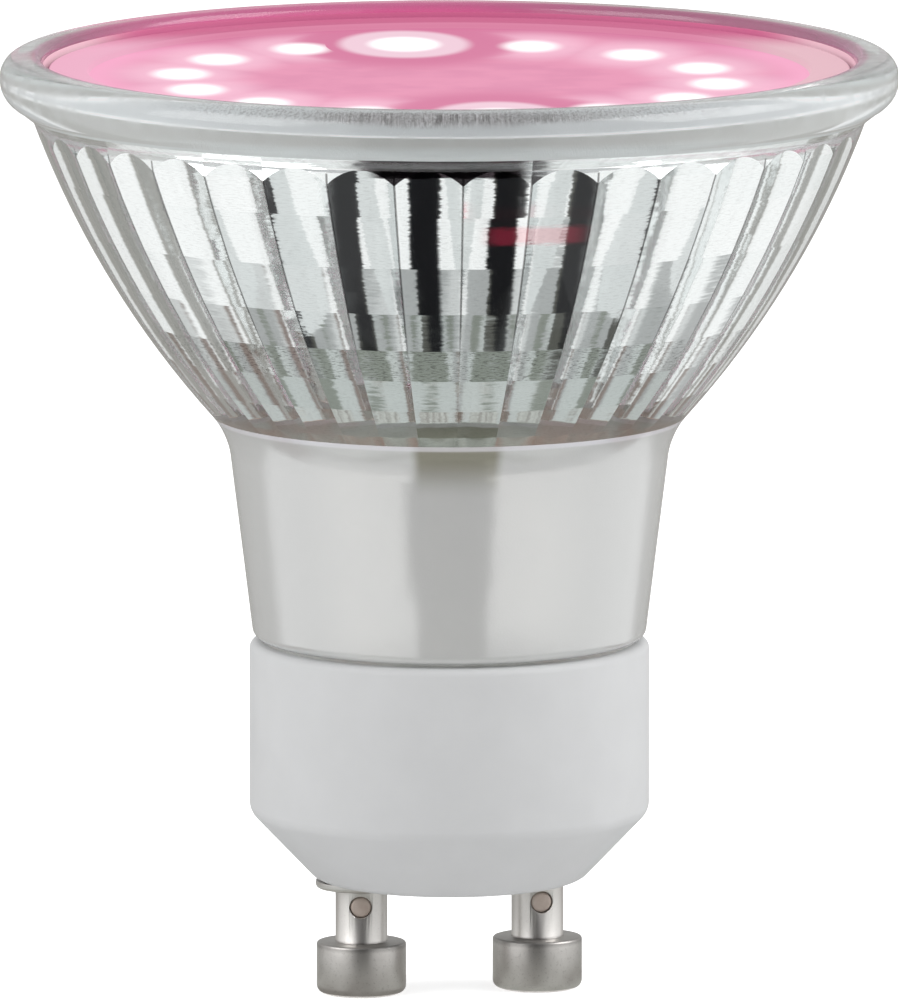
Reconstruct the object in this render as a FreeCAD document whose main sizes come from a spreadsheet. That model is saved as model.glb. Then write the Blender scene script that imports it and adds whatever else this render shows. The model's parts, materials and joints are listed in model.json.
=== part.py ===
import FreeCAD, Part
import math
import os

import Sketcher

# A twist-lock grow light bulb with a pressed-glass reflector, 50 mm across.
# Millimetres, +Z up. The origin is on the lamp's axis, in the plane of the two pin feet,
# and the two contact pins stand on the X axis.

doc = FreeCAD.newDocument("GrowLightBulb")
sheet = doc.addObject("Spreadsheet::Sheet", "Sizes")


class Size:
    """A length or angle that knows its number and the sheet expression that gives it."""

    def __init__(self, number, text):
        self.number = float(number)
        self.text = text

    def __add__(self, other):
        other = as_size(other)
        return Size(self.number + other.number, "(" + self.text + " + " + other.text + ")")

    def __sub__(self, other):
        other = as_size(other)
        return Size(self.number - other.number, "(" + self.text + " - " + other.text + ")")

    def __mul__(self, other):
        other = as_size(other)
        return Size(self.number * other.number, "(" + self.text + " * " + other.text + ")")

    def __truediv__(self, other):
        other = as_size(other)
        return Size(self.number / other.number, "(" + self.text + " / " + other.text + ")")

    def __neg__(self):
        return Size(-self.number, "(0 - " + self.text + ")")

    __radd__ = __add__
    __rmul__ = __mul__


def as_size(value):
    """A plain number as a Size."""
    return value if isinstance(value, Size) else Size(value, repr(float(value)))


# The driving dimensions, each set here and nowhere else. Angles are in degrees.

# Contact pins
pin_pitch = 10.0  # between the axes of the two pins
foot_radius = 2.5  # pin foot that locks in the socket
foot_height = 2.9  # height of the pin foot
foot_round = 0.45  # rounding of the foot's bottom edge
foot_bevel = 0.15  # bevel of the foot's top edge
shank_radius = 1.45  # pin between foot and base
pin_reach = 6.35  # from the foot's end to the base face
collar_disc_radius = 2.55  # pin collar that seats on the base face
collar_disc_height = 0.4  # thickness of the pin collar
collar_disc_round = 0.2  # rounding of the pin collar
left_pin_turn = -12  # turn of the left pin's crimp hole, degrees
rivet_radius = 1.9  # rolled head of the pin inside the base
rivet_height = 0.6  # height of that head
pin_bore_radius = 0.55  # bore of the pin for the mains wire
cross_hole_radius = 0.61  # crimp hole across the pin
cross_hole_height = 5.0  # crimp hole above the foot's end
bore_floor = 4.2  # blind end of the pin bore above the foot's end

# Base cap
pin_margin = 6.16  # from a pin's axis to the cylinder of the base
bevel_width = 3.74  # width of the sloping flank
bevel_height = 3.92  # height of the sloping flank
base_height = 13.45  # from the end face to the shoulder
face_round = 1.2  # rounding between end face and flank
flank_round = 0.9  # rounding between flank and cylinder
shoulder_round = 0.45  # rounding of the shoulder
floor_thickness = 2.4  # floor that holds the pins
collar_height = 4.0  # collar that enters the glass neck
collar_wall = 1.15  # wall of that collar
cement_joint = 0.15  # cement between glass and base

# Glass reflector
shoulder_step = 0.23  # cylinder of the base outside the glass's lower end
neck_flare = 1.44  # widening of the neck up to the bowl
neck_height = 11.65  # from the glass's lower end to the bowl
neck_end_round = 0.6  # fire-rounded lower edge of the glass
neck_blend = 4.0  # hollow between neck and bowl
neck_wall = 1.43  # wall of the neck
bowl_height = 17.65  # from the neck to the rim's underside
bowl_arc = 52.0  # radius of the bowl's curve
bowl_wall = 1.6  # glass between the outside and the grooves of the mirror
rim_radius = 25.0  # outside of the rim
rim_overhang = 1.78  # rim outside the bowl's upper end
rim_flare = 0.93  # width of the flare under the rim
rim_flare_height = 0.72  # height of that flare
rim_under_round = 1.5  # rounding of the rim's underside
rim_under_height = 1.2  # height of that rounding
rim_band = 0.42  # straight band round the rim
rim_top_round = 1.1  # rounding of the rim's top
rim_lip = 0.5  # inner rounding of the rim's top
rim_wall = 2.4  # rim outside the seat of the front cover
cover_seat_depth = 2.2  # from the rim's top to the cover's ledge
ledge_width = 1.4  # ledge under the cover, down to the plain mirrored band
throat_draft = 0.1  # narrowing of that band towards the flutes

# Flutes of the mirror
flute_count = 36  # flutes round the mirror
flute_phase = 1.5  # angle of the first groove from +X, degrees
flute_swell = 18.0  # half angle of each flute's arc, degrees
flute_top_drop = 0.6  # from the bowl's upper end to the first row
rows_foot = 0.66  # from the last row to the mirror's lower end
row_1 = 2.02  # height of the first row of facets
row_2 = 2.97  # height of the second row
row_3 = 2.69  # height of the third row
row_4 = 2.18  # height of the fourth row
row_5 = 1.82  # height of the fifth row
row_6 = 1.85  # height of the sixth row
row_7 = 1.61  # height of the seventh row
mirror_foot_rise = 1.25  # lower end of the mirror above the bowl's foot
neck_top_wall = 1.27  # from the neck's widest outside in to the mirror's lower end

# Front cover
cover_clearance = 0.2  # round the cover
cover_thickness = 0.9  # diffusing field of the cover
cover_ring_width = 2.3  # raised ring round the cover
cover_ring_height = 0.4  # raised ring above the field
cover_skirt_wall = 0.8  # skirt that centres the cover
cover_skirt_height = 0.9  # height of that skirt
seal_thickness = 0.15  # silicone under the cover's edge

# Light engine
plate_drop = 4.5  # from the cover's ledge to the top of the heat spreader
plate_clearance = 2.5  # heat spreader inside the plain mirrored band
plate_thickness = 1.0  # top plate of the heat spreader
spreader_wall = 0.8  # skirt and tube of the heat spreader
spreader_root = 1.2  # skirt's width where it meets the top plate
spreader_tube_step = 0.25  # tube in the glass neck outside the base collar
spreader_throat_gap = 0.5  # skirt's foot inside the mirror's lower end
spreader_tube_gap = 0.5  # between the base collar and the tube
lead_hole_radius = 2.4  # hole for the wires to the light board
light_board_inset = 0.4  # edge of the heat spreader round the light board
light_board_thickness = 1.0  # round light board
led_count = 14  # light packages in the ring
led_ring_inset = 3.3  # ring of light packages inside the board's edge
led_phase = 87.5  # angle of the first package from +X, degrees
led_length = 3.5  # light package along the ring
led_width = 2.8  # light package across the ring
led_height = 0.8  # light package
led_well_radius = 1.1  # round well of a light package
led_well_depth = 0.25  # depth of that well

# Driver housing and board
housing_gap = 0.4  # between base collar and driver housing
housing_wall = 0.8  # wall of that tube
board_stand_out = 1.2  # driver board above its housing
rail_depth = 1.1  # rails that hold the driver board
rail_thickness = 0.7  # thickness of each rail
rail_start = 2.6  # rails above the base floor
board_clearance = 0.1  # between board and rails
board_offset = 1.0  # middle of the board behind the lamp's axis
board_thickness = 1.0  # driver board
board_side_gap = 0.4  # between the board's edge and the housing wall

# Driver components, each with its place above the board's lower edge
input_cap_radius = 3.15  # tall capacitor
input_cap_length = 11.0  # tall capacitor
cap_gap = 2.4  # between the short and the tall capacitor
wire_gap = 0.5  # between the tall capacitor and the soldered wires
output_cap_radius = 2.5  # short capacitor
output_cap_length = 7.0  # short capacitor
output_cap_place = 3.6  # lower end of the short capacitor
small_part_offset = 3.3  # short capacitor and coil from the middle
coil_radius = 2.4  # flanges of the coil's core
coil_winding_radius = 2.15  # outside of the winding
coil_hub_radius = 1.2  # middle of the coil's core
coil_flange = 0.8  # flange of the coil's core
coil_length = 5.6  # length of the coil's core
coil_place = 4.0  # lower end of the coil
part_lift = 0.2  # round components above the board
cap_leg_radius = 0.3  # legs of the round components
film_cap_width = 7.0  # box capacitor
film_cap_depth = 3.8  # box capacitor off the board
film_cap_height = 4.6  # box capacitor
film_cap_gap = 0.8  # between the driver chip and the box capacitor
chip_length = 5.0  # driver chip
chip_width = 3.9  # driver chip
chip_height = 1.5  # driver chip
chip_gap = 2.8  # between the rectifier and the driver chip
chip_leg_pitch = 1.27  # between the legs of the driver chip
chip_leg_width = 0.42  # leg of a surface part
chip_leg_reach = 1.0  # how far a leg stands out
chip_leg_height = 0.5  # height of a leg
bridge_length = 4.4  # rectifier across the board
bridge_width = 3.8  # rectifier along the board
bridge_height = 1.6  # rectifier off the board
bridge_place = 7.6  # lower end of the rectifier
diode_length = 4.0  # diode along the board
diode_width = 2.3  # diode across the board
diode_height = 2.0  # diode off the board
side_part_rise = 0.4  # diode and flat resistors above the chip's lower end
side_part_gap = 0.2  # between those and the rails
resistor_length = 3.2  # flat resistor
resistor_width = 1.6  # flat resistor
resistor_height = 0.6  # flat resistor
resistor_pitch = 3.6  # between the lower ends of the flat resistors
axial_radius = 1.25  # fusible resistor and choke
axial_waist = 1.0  # waist of those
axial_length = 5.5  # length of those
axial_cap = 1.2  # swollen end of those
axial_place = 1.2  # lower end of those
axial_lift = 0.3  # those above the board
axial_leg_radius = 0.25  # their wire legs

# Wires
mains_wire_radius = 0.45  # bare wire in each pin
mains_wire_end = 4.6  # lower end of that wire above the foot's end
mains_wire_overlap = 2.6  # length soldered to the driver board
lamp_wire_radius = 0.5  # insulated wire to the light board
lamp_wire_offset = 1.2  # those wires from the axis
lamp_wire_overlap = 2.0  # length soldered to the driver board
lamp_wire_bend = 1.5  # bend of those wires over the light board
lamp_wire_rise = 2.0  # height of the wires over the light board
lamp_wire_drop = 0.2  # least straight end under that bend
lamp_pad_reach = 3.2  # from the bend to the wire's soldered end


def on_sheet(row, alias, number):
    """Writes one driving dimension into the sheet and returns it."""
    sheet.set("A" + str(row), str(number))
    sheet.setAlias("A" + str(row), alias)
    return Size(number, "Sizes." + alias)


# Each number above goes into the sheet and is read from there by every sketch and solid.
numbers = {name: value for name, value in globals().items() if type(value) in (int, float)}
for row, alias in enumerate(numbers):
    globals()[alias] = on_sheet(row + 1, alias, numbers[alias])

# Radii that follow from one another, from the pins out and from the rim in
base_radius = pin_pitch / 2 + pin_margin
face_radius = base_radius - bevel_width
neck_foot_radius = base_radius - shoulder_step
neck_bore_foot_radius = neck_foot_radius - neck_wall
neck_top_radius = neck_foot_radius + neck_flare
mirror_foot_radius = neck_top_radius - neck_top_wall
collar_radius = neck_bore_foot_radius - cement_joint
collar_bore_radius = collar_radius - collar_wall
housing_radius = collar_bore_radius - housing_gap
spreader_tube_radius = collar_radius + spreader_tube_step
spreader_throat_radius = mirror_foot_radius - spreader_throat_gap
bowl_radius = rim_radius - rim_overhang
cover_seat_radius = rim_radius - rim_wall
cover_edge_radius = cover_seat_radius - cover_clearance
cover_ring_radius = cover_edge_radius - cover_ring_width
throat_radius = cover_seat_radius - ledge_width
plate_radius = throat_radius - plate_clearance
light_board_radius = plate_radius - light_board_inset
led_ring_radius = light_board_radius - led_ring_inset

# Heights that several pieces share
base_face_z = pin_reach
floor_top_z = base_face_z + floor_thickness
shoulder_z = base_face_z + base_height
glass_end_z = shoulder_z + cement_joint
bowl_foot_z = glass_end_z + neck_height
bowl_top_z = bowl_foot_z + bowl_height
rim_under_z = bowl_top_z + rim_flare_height
rim_band_z = rim_under_z + rim_under_height
rim_top_z = rim_band_z + rim_band + rim_top_round
ledge_z = rim_top_z - cover_seat_depth
plate_top_z = ledge_z - plate_drop
mirror_foot_z = bowl_foot_z + mirror_foot_rise
board_foot_z = floor_top_z + rail_start + board_clearance
board_front_y = board_thickness / 2 - board_offset
board_back_y = -(board_thickness / 2) - board_offset

# The driver board carries its parts one above the other, and it is as tall as they need
input_cap_place = output_cap_place + output_cap_length + cap_gap
board_height = input_cap_place + input_cap_length + wire_gap + lamp_wire_overlap
board_width = (housing_radius - housing_wall - board_side_gap) * 2
housing_height = rail_start + board_clearance + board_height - board_stand_out
chip_place = bridge_place + bridge_width + chip_gap
film_cap_place = chip_place + chip_length + film_cap_gap
side_part_place = chip_place + side_part_rise
side_part_reach = board_width / 2 + board_clearance - rail_depth - side_part_gap
diode_offset = side_part_reach - diode_width / 2
resistor_offset = side_part_reach - resistor_width / 2
axial_offset = side_part_reach - axial_radius


def plane_of(body, role):
    """One of a body's own origin planes."""
    for feature in body.Origin.OriginFeatures:
        if feature.Role == role:
            return feature
    raise ValueError(role)


def new_body(name):
    body = doc.addObject("PartDesign::Body", name)
    body.Label = name
    return body


def new_sketch(body, name, role="XZ_Plane"):
    sketch = body.newObject("Sketcher::SketchObject", name)
    sketch.AttachmentSupport = (plane_of(body, role), [""])
    sketch.MapMode = "FlatFace"
    return sketch


def bind(item, prop, size):
    """Ties a property to the sheet."""
    item.setExpression(prop, as_size(size).text)


def fix_point(sketch, geometry, end, x, y):
    """Pins one end of a sketch line at two sizes from the origin."""
    for kind, size, axis in (("DistanceX", x, -2), ("DistanceY", y, -1)):
        size = as_size(size)
        if abs(size.number) < 1e-9:
            sketch.addConstraint(Sketcher.Constraint("PointOnObject", geometry, end, axis))
        else:
            rule = Sketcher.Constraint(kind, -1, 1, geometry, end, size.number)
            index = sketch.addConstraint(rule)
            sketch.setExpression("Constraints[" + str(index) + "]", size.text)


def draw_outline(sketch, corners):
    """Closes a sketch through its corners. A third entry bows the side that starts there.

    It is the radius of that side, positive where the side bulges to its right.
    """
    count = len(corners)
    for i, corner in enumerate(corners):
        after = corners[(i + 1) % count]
        start = FreeCAD.Vector(as_size(corner[0]).number, as_size(corner[1]).number, 0)
        end = FreeCAD.Vector(as_size(after[0]).number, as_size(after[1]).number, 0)
        if len(corner) == 3:
            radius = abs(as_size(corner[2]).number)
            chord = end - start
            sagitta = radius - math.sqrt(radius**2 - chord.Length**2 / 4)
            side = math.copysign(1, as_size(corner[2]).number)
            right = FreeCAD.Vector(chord.y, -chord.x, 0).normalize()
            middle = (start + end) / 2 + right * (sagitta * side)
            sketch.addGeometry(Part.ArcOfCircle(start, middle, end), False)
        else:
            sketch.addGeometry(Part.LineSegment(start, end), False)
    return count


def ends_of(sketch, geometry, start):
    """The two end numbers of a sketch side, the one nearest to start first."""
    first = sketch.getPoint(geometry, 1)
    return (1, 2) if (first - start).Length < 1e-6 else (2, 1)


def outline(sketch, corners):
    """Draws a closed outline and ties every corner and radius of it to the sheet."""
    count = draw_outline(sketch, corners)
    starts = []
    for i, corner in enumerate(corners):
        point = FreeCAD.Vector(as_size(corner[0]).number, as_size(corner[1]).number, 0)
        starts.append(ends_of(sketch, i, point))
    for i in range(count):
        after = (i + 1) % count
        sketch.addConstraint(
            Sketcher.Constraint("Coincident", i, starts[i][1], after, starts[after][0]))
    for i, corner in enumerate(corners):
        fix_point(sketch, i, starts[i][0], corner[0], corner[1])
        if len(corner) == 3:
            radius = as_size(corner[2])
            rule = Sketcher.Constraint("Radius", i, abs(radius.number))
            index = sketch.addConstraint(rule)
            text = radius.text if radius.number > 0 else (-radius).text
            sketch.setExpression("Constraints[" + str(index) + "]", text)


def turned(body, name, corners):
    """A solid of revolution about Z. Each corner is a radius and a height."""
    sketch = new_sketch(body, name + "_profile")
    outline(sketch, corners)
    feature = body.newObject("PartDesign::Revolution", name)
    feature.Profile = sketch
    feature.ReferenceAxis = (sketch, ["V_Axis"])
    feature.Angle = 360
    doc.recompute()
    return feature


def circle_edges(shape, radius, height):
    """Names of the full round edges of one radius at one height."""
    found = []
    for i, edge in enumerate(shape.Edges):
        curve = edge.Curve
        if not isinstance(curve, Part.Circle):
            continue
        if abs(curve.Radius - as_size(radius).number) < 1e-4:
            if abs(curve.Center.z - as_size(height).number) < 1e-4:
                found.append("Edge" + str(i + 1))
    if not found:
        raise ValueError("no edge at that radius and height")
    return found


def rounded(body, name, radius, edges):
    """Rounds round edges, each given by its radius and height."""
    base = body.Tip
    names = []
    for edge_radius, edge_height in edges:
        names += circle_edges(base.Shape, edge_radius, edge_height)
    feature = body.newObject("PartDesign::Fillet", name)
    feature.Base = (base, names)
    bind(feature, "Radius", radius)
    doc.recompute()
    return feature


def primitive(kind, name, sizes, place=(0, 0, 0)):
    """A Part primitive with its sizes and its place tied to the sheet."""
    item = doc.addObject("Part::" + kind, name)
    for prop, size in sizes.items():
        bind(item, prop, size)
    for axis, size in zip("xyz", place):
        bind(item, "Placement.Base." + axis, size)
    return item


def block(name, size, place):
    """A box given by its three sizes and its lowest corner."""
    return primitive("Box", name, dict(zip(("Length", "Width", "Height"), size)), place)


def rod(name, radius, height, place):
    return primitive("Cylinder", name, {"Radius": radius, "Height": height}, place)


def joined(name, pieces):
    item = doc.addObject("Part::MultiFuse", name)
    item.Shapes = pieces
    return item


def less(name, base, tool):
    item = doc.addObject("Part::Cut", name)
    item.Base = base
    item.Tool = tool
    return item


def make_pin(name, side, turn):
    """A turned contact pin: foot, shank, collar, rolled head, wire bore and crimp hole."""
    body = new_body(name)
    top_z = floor_top_z + rivet_height
    turned(body, name + "_turning", [
        (0, 0),
        (foot_radius, 0),
        (foot_radius, foot_height),
        (shank_radius, foot_height),
        (shank_radius, base_face_z - collar_disc_height),
        (collar_disc_radius, base_face_z - collar_disc_height),
        (collar_disc_radius, base_face_z),
        (shank_radius, base_face_z),
        (shank_radius, floor_top_z),
        (rivet_radius, floor_top_z),
        (rivet_radius, top_z),
        (pin_bore_radius, top_z),
        (pin_bore_radius, bore_floor),
        (0, bore_floor),
    ])
    sketch = new_sketch(body, name + "_crimp")
    hole = sketch.addGeometry(
        Part.Circle(FreeCAD.Vector(0, cross_hole_height.number, 0), FreeCAD.Vector(0, 0, 1),
                    cross_hole_radius.number), False)
    fix_point(sketch, hole, 3, 0, cross_hole_height)
    index = sketch.addConstraint(Sketcher.Constraint("Radius", hole, cross_hole_radius.number))
    sketch.setExpression("Constraints[" + str(index) + "]", cross_hole_radius.text)
    pocket = body.newObject("PartDesign::Pocket", name + "_crimp_hole")
    pocket.Profile = sketch
    pocket.Type = "ThroughAll"
    pocket.SideType = "Two sides"
    pocket.Type2 = "ThroughAll"
    doc.recompute()
    rounded(body, name + "_rounding", foot_round, [(foot_radius, 0)])
    base = body.Tip
    bevel = body.newObject("PartDesign::Chamfer", name + "_bevel")
    bevel.Base = (base, circle_edges(base.Shape, foot_radius, foot_height))
    bind(bevel, "Size", foot_bevel)
    doc.recompute()
    rounded(body, name + "_collar_rounding", collar_disc_round,
            [(collar_disc_radius, base_face_z - collar_disc_height)])
    bind(body, "Placement.Base.x", pin_pitch / 2 * side)
    bind(body, "Placement.Rotation.Angle", turn)
    return body


def make_base_cap():
    """The moulded base: sloping flank, floor for the pins and a collar for the glass."""
    body = new_body("base_cap")
    flank_top_z = base_face_z + bevel_height
    turned(body, "base_turning", [
        (0, base_face_z),
        (face_radius, base_face_z),
        (base_radius, flank_top_z),
        (base_radius, shoulder_z),
        (collar_radius, shoulder_z),
        (collar_radius, shoulder_z + collar_height),
        (collar_bore_radius, shoulder_z + collar_height),
        (collar_bore_radius, floor_top_z),
        (0, floor_top_z),
    ])
    rounded(body, "face_rounding", face_round, [(face_radius, base_face_z)])
    rounded(body, "flank_rounding", flank_round, [(base_radius, flank_top_z)])
    rounded(body, "shoulder_rounding", shoulder_round, [(base_radius, shoulder_z)])
    for name, side in (("left", -1), ("right", 1)):
        bore_for_pin(body, name, side)
    return body


def round_on_plane(body, name, x, radius):
    """A sketched circle in the body's XY plane, centred on the X axis."""
    sketch = new_sketch(body, name, "XY_Plane")
    centre = FreeCAD.Vector(as_size(x).number, 0, 0)
    circle = sketch.addGeometry(
        Part.Circle(centre, FreeCAD.Vector(0, 0, 1), as_size(radius).number), False)
    fix_point(sketch, circle, 3, x, 0)
    index = sketch.addConstraint(Sketcher.Constraint("Radius", circle, as_size(radius).number))
    sketch.setExpression("Constraints[" + str(index) + "]", as_size(radius).text)
    return sketch


def bore_for_pin(body, name, side):
    """The hole that holds a pin's shank."""
    sketch = round_on_plane(body, name + "_pin_circle", pin_pitch / 2 * side, shank_radius)
    hole = body.newObject("PartDesign::Pocket", name + "_pin_hole")
    hole.Profile = sketch
    hole.Reversed = True
    bind(hole, "Length", floor_top_z + rivet_height)
    before = body.Shape.Volume
    doc.recompute()
    if hole.Shape.Volume >= before - 1:
        raise RuntimeError("a pin hole cut nothing")


def make_cement():
    """The cement between collar, shoulder and glass."""
    body = new_body("base_cement")
    land_radius = neck_foot_radius - neck_end_round
    turned(body, "cement_ring", [
        (collar_radius, shoulder_z),
        (land_radius, shoulder_z),
        (land_radius, glass_end_z),
        (neck_bore_foot_radius, glass_end_z),
        (neck_bore_foot_radius, shoulder_z + collar_height),
        (collar_radius, shoulder_z + collar_height),
    ])
    return body


def bowl_centre():
    """Centre of the bowl's outer curve, as radius and height."""
    foot = FreeCAD.Vector(neck_top_radius.number, bowl_foot_z.number, 0)
    top = FreeCAD.Vector(bowl_radius.number, bowl_top_z.number, 0)
    chord = top - foot
    reach = math.sqrt(bowl_arc.number**2 - chord.Length**2 / 4)
    inward = FreeCAD.Vector(-chord.y, chord.x, 0).normalize()
    return (foot + top) / 2 + inward * reach


def groove_radius(height):
    """Radius of the mirror's grooves at a height: the outer curve less the wall."""
    centre = bowl_centre()
    inner = bowl_arc.number - bowl_wall.number
    return centre.x + math.sqrt(inner**2 - (height - centre.y) ** 2)


def flute_rise(radius):
    """How far a flute's crest stands in from the chord between two grooves."""
    half_pitch = math.pi / flute_count.number
    return radius * math.sin(half_pitch) * math.tan(math.radians(flute_swell.number) / 2)


def fluted_wire(radius, height, rise):
    """A closed wire of one arc for each flute, grooves at the given radius."""
    pitch = 2 * math.pi / flute_count.number
    first = math.radians(flute_phase.number)
    crest = radius * math.cos(pitch / 2) - rise
    arcs = []
    for i in range(int(flute_count.number)):
        angles = (first + i * pitch, first + (i + 0.5) * pitch, first + (i + 1) * pitch)
        ends = [
            FreeCAD.Vector(reach * math.cos(angle), reach * math.sin(angle), height)
            for reach, angle in zip((radius, crest, radius), angles)
        ]
        arcs.append(Part.Arc(*ends).toShape())
    return Part.Wire(arcs)


def row_heights():
    """Heights of the facet rows' edges, from the top one down."""
    rows = [row.number for row in (row_1, row_2, row_3, row_4, row_5, row_6, row_7)]
    top_z = bowl_top_z.number - flute_top_drop.number
    share = (top_z - mirror_foot_z.number - rows_foot.number) / sum(rows)
    heights = [top_z]
    for row in rows:
        heights.append(heights[-1] - row * share)
    return heights


def make_flute_core():
    """The hollow inside the flutes, straight from row edge to row edge."""
    sections = []
    top_z = rim_top_z.number
    heights = [top_z] + row_heights()
    for height in heights:
        radius = groove_radius(height)
        sections.append(fluted_wire(radius, height, flute_rise(radius)))
    mouth = mirror_foot_radius.number
    half_pitch = math.pi / flute_count.number
    plain = -mouth * (1 - math.cos(half_pitch))
    sections.append(fluted_wire(mouth, mirror_foot_z.number, plain))
    core = doc.addObject("Part::Feature", "flute_core")
    core.Shape = Part.makeLoft(sections, True, True)
    return core


def make_glass():
    """The pressed glass: one piece from the neck's end to the rim."""
    outside = new_body("glass_outside")
    rim_crest_radius = rim_radius - rim_top_round
    turned(outside, "glass_turning", [
        (0, glass_end_z),
        (neck_foot_radius, glass_end_z),
        (neck_top_radius, bowl_foot_z, bowl_arc),
        (bowl_radius, bowl_top_z),
        (bowl_radius + rim_flare, rim_under_z, rim_under_round),
        (rim_radius, rim_band_z),
        (rim_radius, rim_band_z + rim_band, rim_top_round),
        (rim_crest_radius, rim_top_z),
        (0, rim_top_z),
    ])
    rounded(outside, "neck_blend_rounding", neck_blend, [(neck_top_radius, bowl_foot_z)])
    rounded(outside, "neck_end_rounding", neck_end_round, [(neck_foot_radius, glass_end_z)])
    core = make_flute_core()
    throat = primitive("Cone", "throat", {
        "Radius1": throat_radius - throat_draft,
        "Radius2": throat_radius,
        "Height": ledge_z - mirror_foot_z,
    }, (0, 0, mirror_foot_z))
    fluted = doc.addObject("Part::Common", "fluted_hollow")
    fluted.Base = core
    fluted.Tool = throat
    neck_bore = primitive("Cone", "neck_bore", {
        "Radius1": neck_bore_foot_radius,
        "Radius2": mirror_foot_radius,
        "Height": neck_height + mirror_foot_rise,
    }, (0, 0, glass_end_z))
    seat = rod("cover_seat", cover_seat_radius, cover_seat_depth, (0, 0, ledge_z))
    hollow = joined("glass_hollow", [fluted, neck_bore, seat])
    glass = less("glass_pressing", outside, hollow)
    doc.recompute()
    softened = doc.addObject("Part::Fillet", "glass_reflector")
    softened.Base = glass
    edges = circle_edges(glass.Shape, cover_seat_radius, rim_top_z)
    softened.Edges = [(int(name[4:]), rim_lip.number, rim_lip.number) for name in edges]
    return softened


def make_cover():
    """The diffusing front cover with its raised ring and centring skirt."""
    body = new_body("front_cover")
    under_z = ledge_z + seal_thickness
    field_z = under_z + cover_thickness
    skirt_radius = throat_radius - cover_clearance - throat_draft
    turned(body, "cover_moulding", [
        (0, under_z),
        (skirt_radius - cover_skirt_wall, under_z),
        (skirt_radius - cover_skirt_wall, under_z - cover_skirt_height),
        (skirt_radius, under_z - cover_skirt_height),
        (skirt_radius, under_z),
        (cover_edge_radius, under_z),
        (cover_edge_radius, field_z + cover_ring_height),
        (cover_ring_radius, field_z + cover_ring_height),
        (cover_ring_radius, field_z),
        (0, field_z),
    ])
    return body


def make_seal():
    """The silicone ring between the cover's edge and the glass ledge."""
    body = new_body("cover_seal")
    turned(body, "seal_ring", [
        (throat_radius, ledge_z),
        (cover_edge_radius, ledge_z),
        (cover_edge_radius, ledge_z + seal_thickness),
        (throat_radius, ledge_z + seal_thickness),
    ])
    return body


def make_spreader():
    """The aluminium heat spreader: top plate, sloping skirt and tube in the neck."""
    body = new_body("heat_spreader")
    tube_foot_z = shoulder_z + collar_height + spreader_tube_gap
    skirt_foot_z = mirror_foot_z + spreader_wall
    plate_under_z = plate_top_z - plate_thickness
    tube_bore = spreader_tube_radius - spreader_wall
    turned(body, "spreader_spinning", [
        (tube_bore, tube_foot_z),
        (spreader_tube_radius, tube_foot_z),
        (spreader_tube_radius, mirror_foot_z - spreader_wall),
        (spreader_throat_radius, skirt_foot_z),
        (plate_radius, plate_under_z),
        (plate_radius, plate_top_z),
        (lead_hole_radius, plate_top_z),
        (lead_hole_radius, plate_under_z),
        (plate_radius - spreader_root, plate_under_z),
        (spreader_throat_radius - spreader_wall, skirt_foot_z + spreader_wall / 2),
        (tube_bore, mirror_foot_z - spreader_wall / 2),
    ])
    return body


def make_light_board():
    """The round aluminium-cored board that carries the light packages."""
    disc = rod("light_board_disc", light_board_radius, light_board_thickness,
               (0, 0, plate_top_z))
    hole = rod("light_board_hole", lead_hole_radius, light_board_thickness,
               (0, 0, plate_top_z))
    return less("light_board", disc, hole)


def make_led(index):
    """A light package with its round well, on the ring."""
    name = "led_" + str(index + 1)
    case = block(name + "_case", (led_width, led_length, led_height),
                 (-(led_width / 2), -(led_length / 2), 0))
    well = rod(name + "_well", led_well_radius, led_well_depth,
               (0, 0, led_height - led_well_depth))
    package = less(name, case, well)
    turn = led_phase - as_size(index) * 360 / led_count
    bind(package, "Placement.Base.x", led_ring_radius * unit("cos", turn))
    bind(package, "Placement.Base.y", led_ring_radius * unit("sin", turn))
    bind(package, "Placement.Base.z", plate_top_z + light_board_thickness)
    bind(package, "Placement.Rotation.Angle", turn)
    return package


def unit(function, turn):
    """The sine or cosine of an angle in degrees, as a Size."""
    value = getattr(math, function)(math.radians(turn.number))
    return Size(value, function + "(" + turn.text + " * 1 deg)")


def make_housing():
    """The insulating tube round the driver, with two pairs of rails for its board."""
    wall = new_body("housing_wall")
    bore = housing_radius - housing_wall
    top_z = floor_top_z + housing_height
    turned(wall, "housing_tube", [
        (bore, floor_top_z),
        (housing_radius, floor_top_z),
        (housing_radius, top_z),
        (bore, top_z),
    ])
    rails = []
    slot = board_thickness + board_clearance * 2
    rail_height = housing_height - rail_start
    reach = board_width / 2 + board_clearance
    for side_name, side in (("left", -1), ("right", 1)):
        inner_x = reach - rail_depth if side > 0 else -reach - housing_wall
        length = rail_depth + housing_wall
        back_y = -board_offset - slot / 2 - rail_thickness
        for rail_name, y in (("back", back_y), ("front", slot / 2 - board_offset)):
            rails.append(block(
                side_name + "_" + rail_name + "_rail", (length, rail_thickness, rail_height),
                (inner_x, y, floor_top_z + rail_start)))
        rails.append(block(
            side_name + "_board_stop", (length, slot + rail_thickness * 2, rail_thickness),
            (inner_x, back_y, floor_top_z + rail_start - rail_thickness)))
    bars = joined("housing_rails", rails)
    inside = rod("housing_inside", bore + housing_wall / 2, housing_height,
                 (0, 0, floor_top_z))
    trimmed = doc.addObject("Part::Common", "trimmed_rails")
    trimmed.Base = bars
    trimmed.Tool = inside
    return joined("driver_housing", [wall, trimmed])


def on_front(place):
    """A height on the driver board, from its lower edge."""
    return board_foot_z + place


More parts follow.
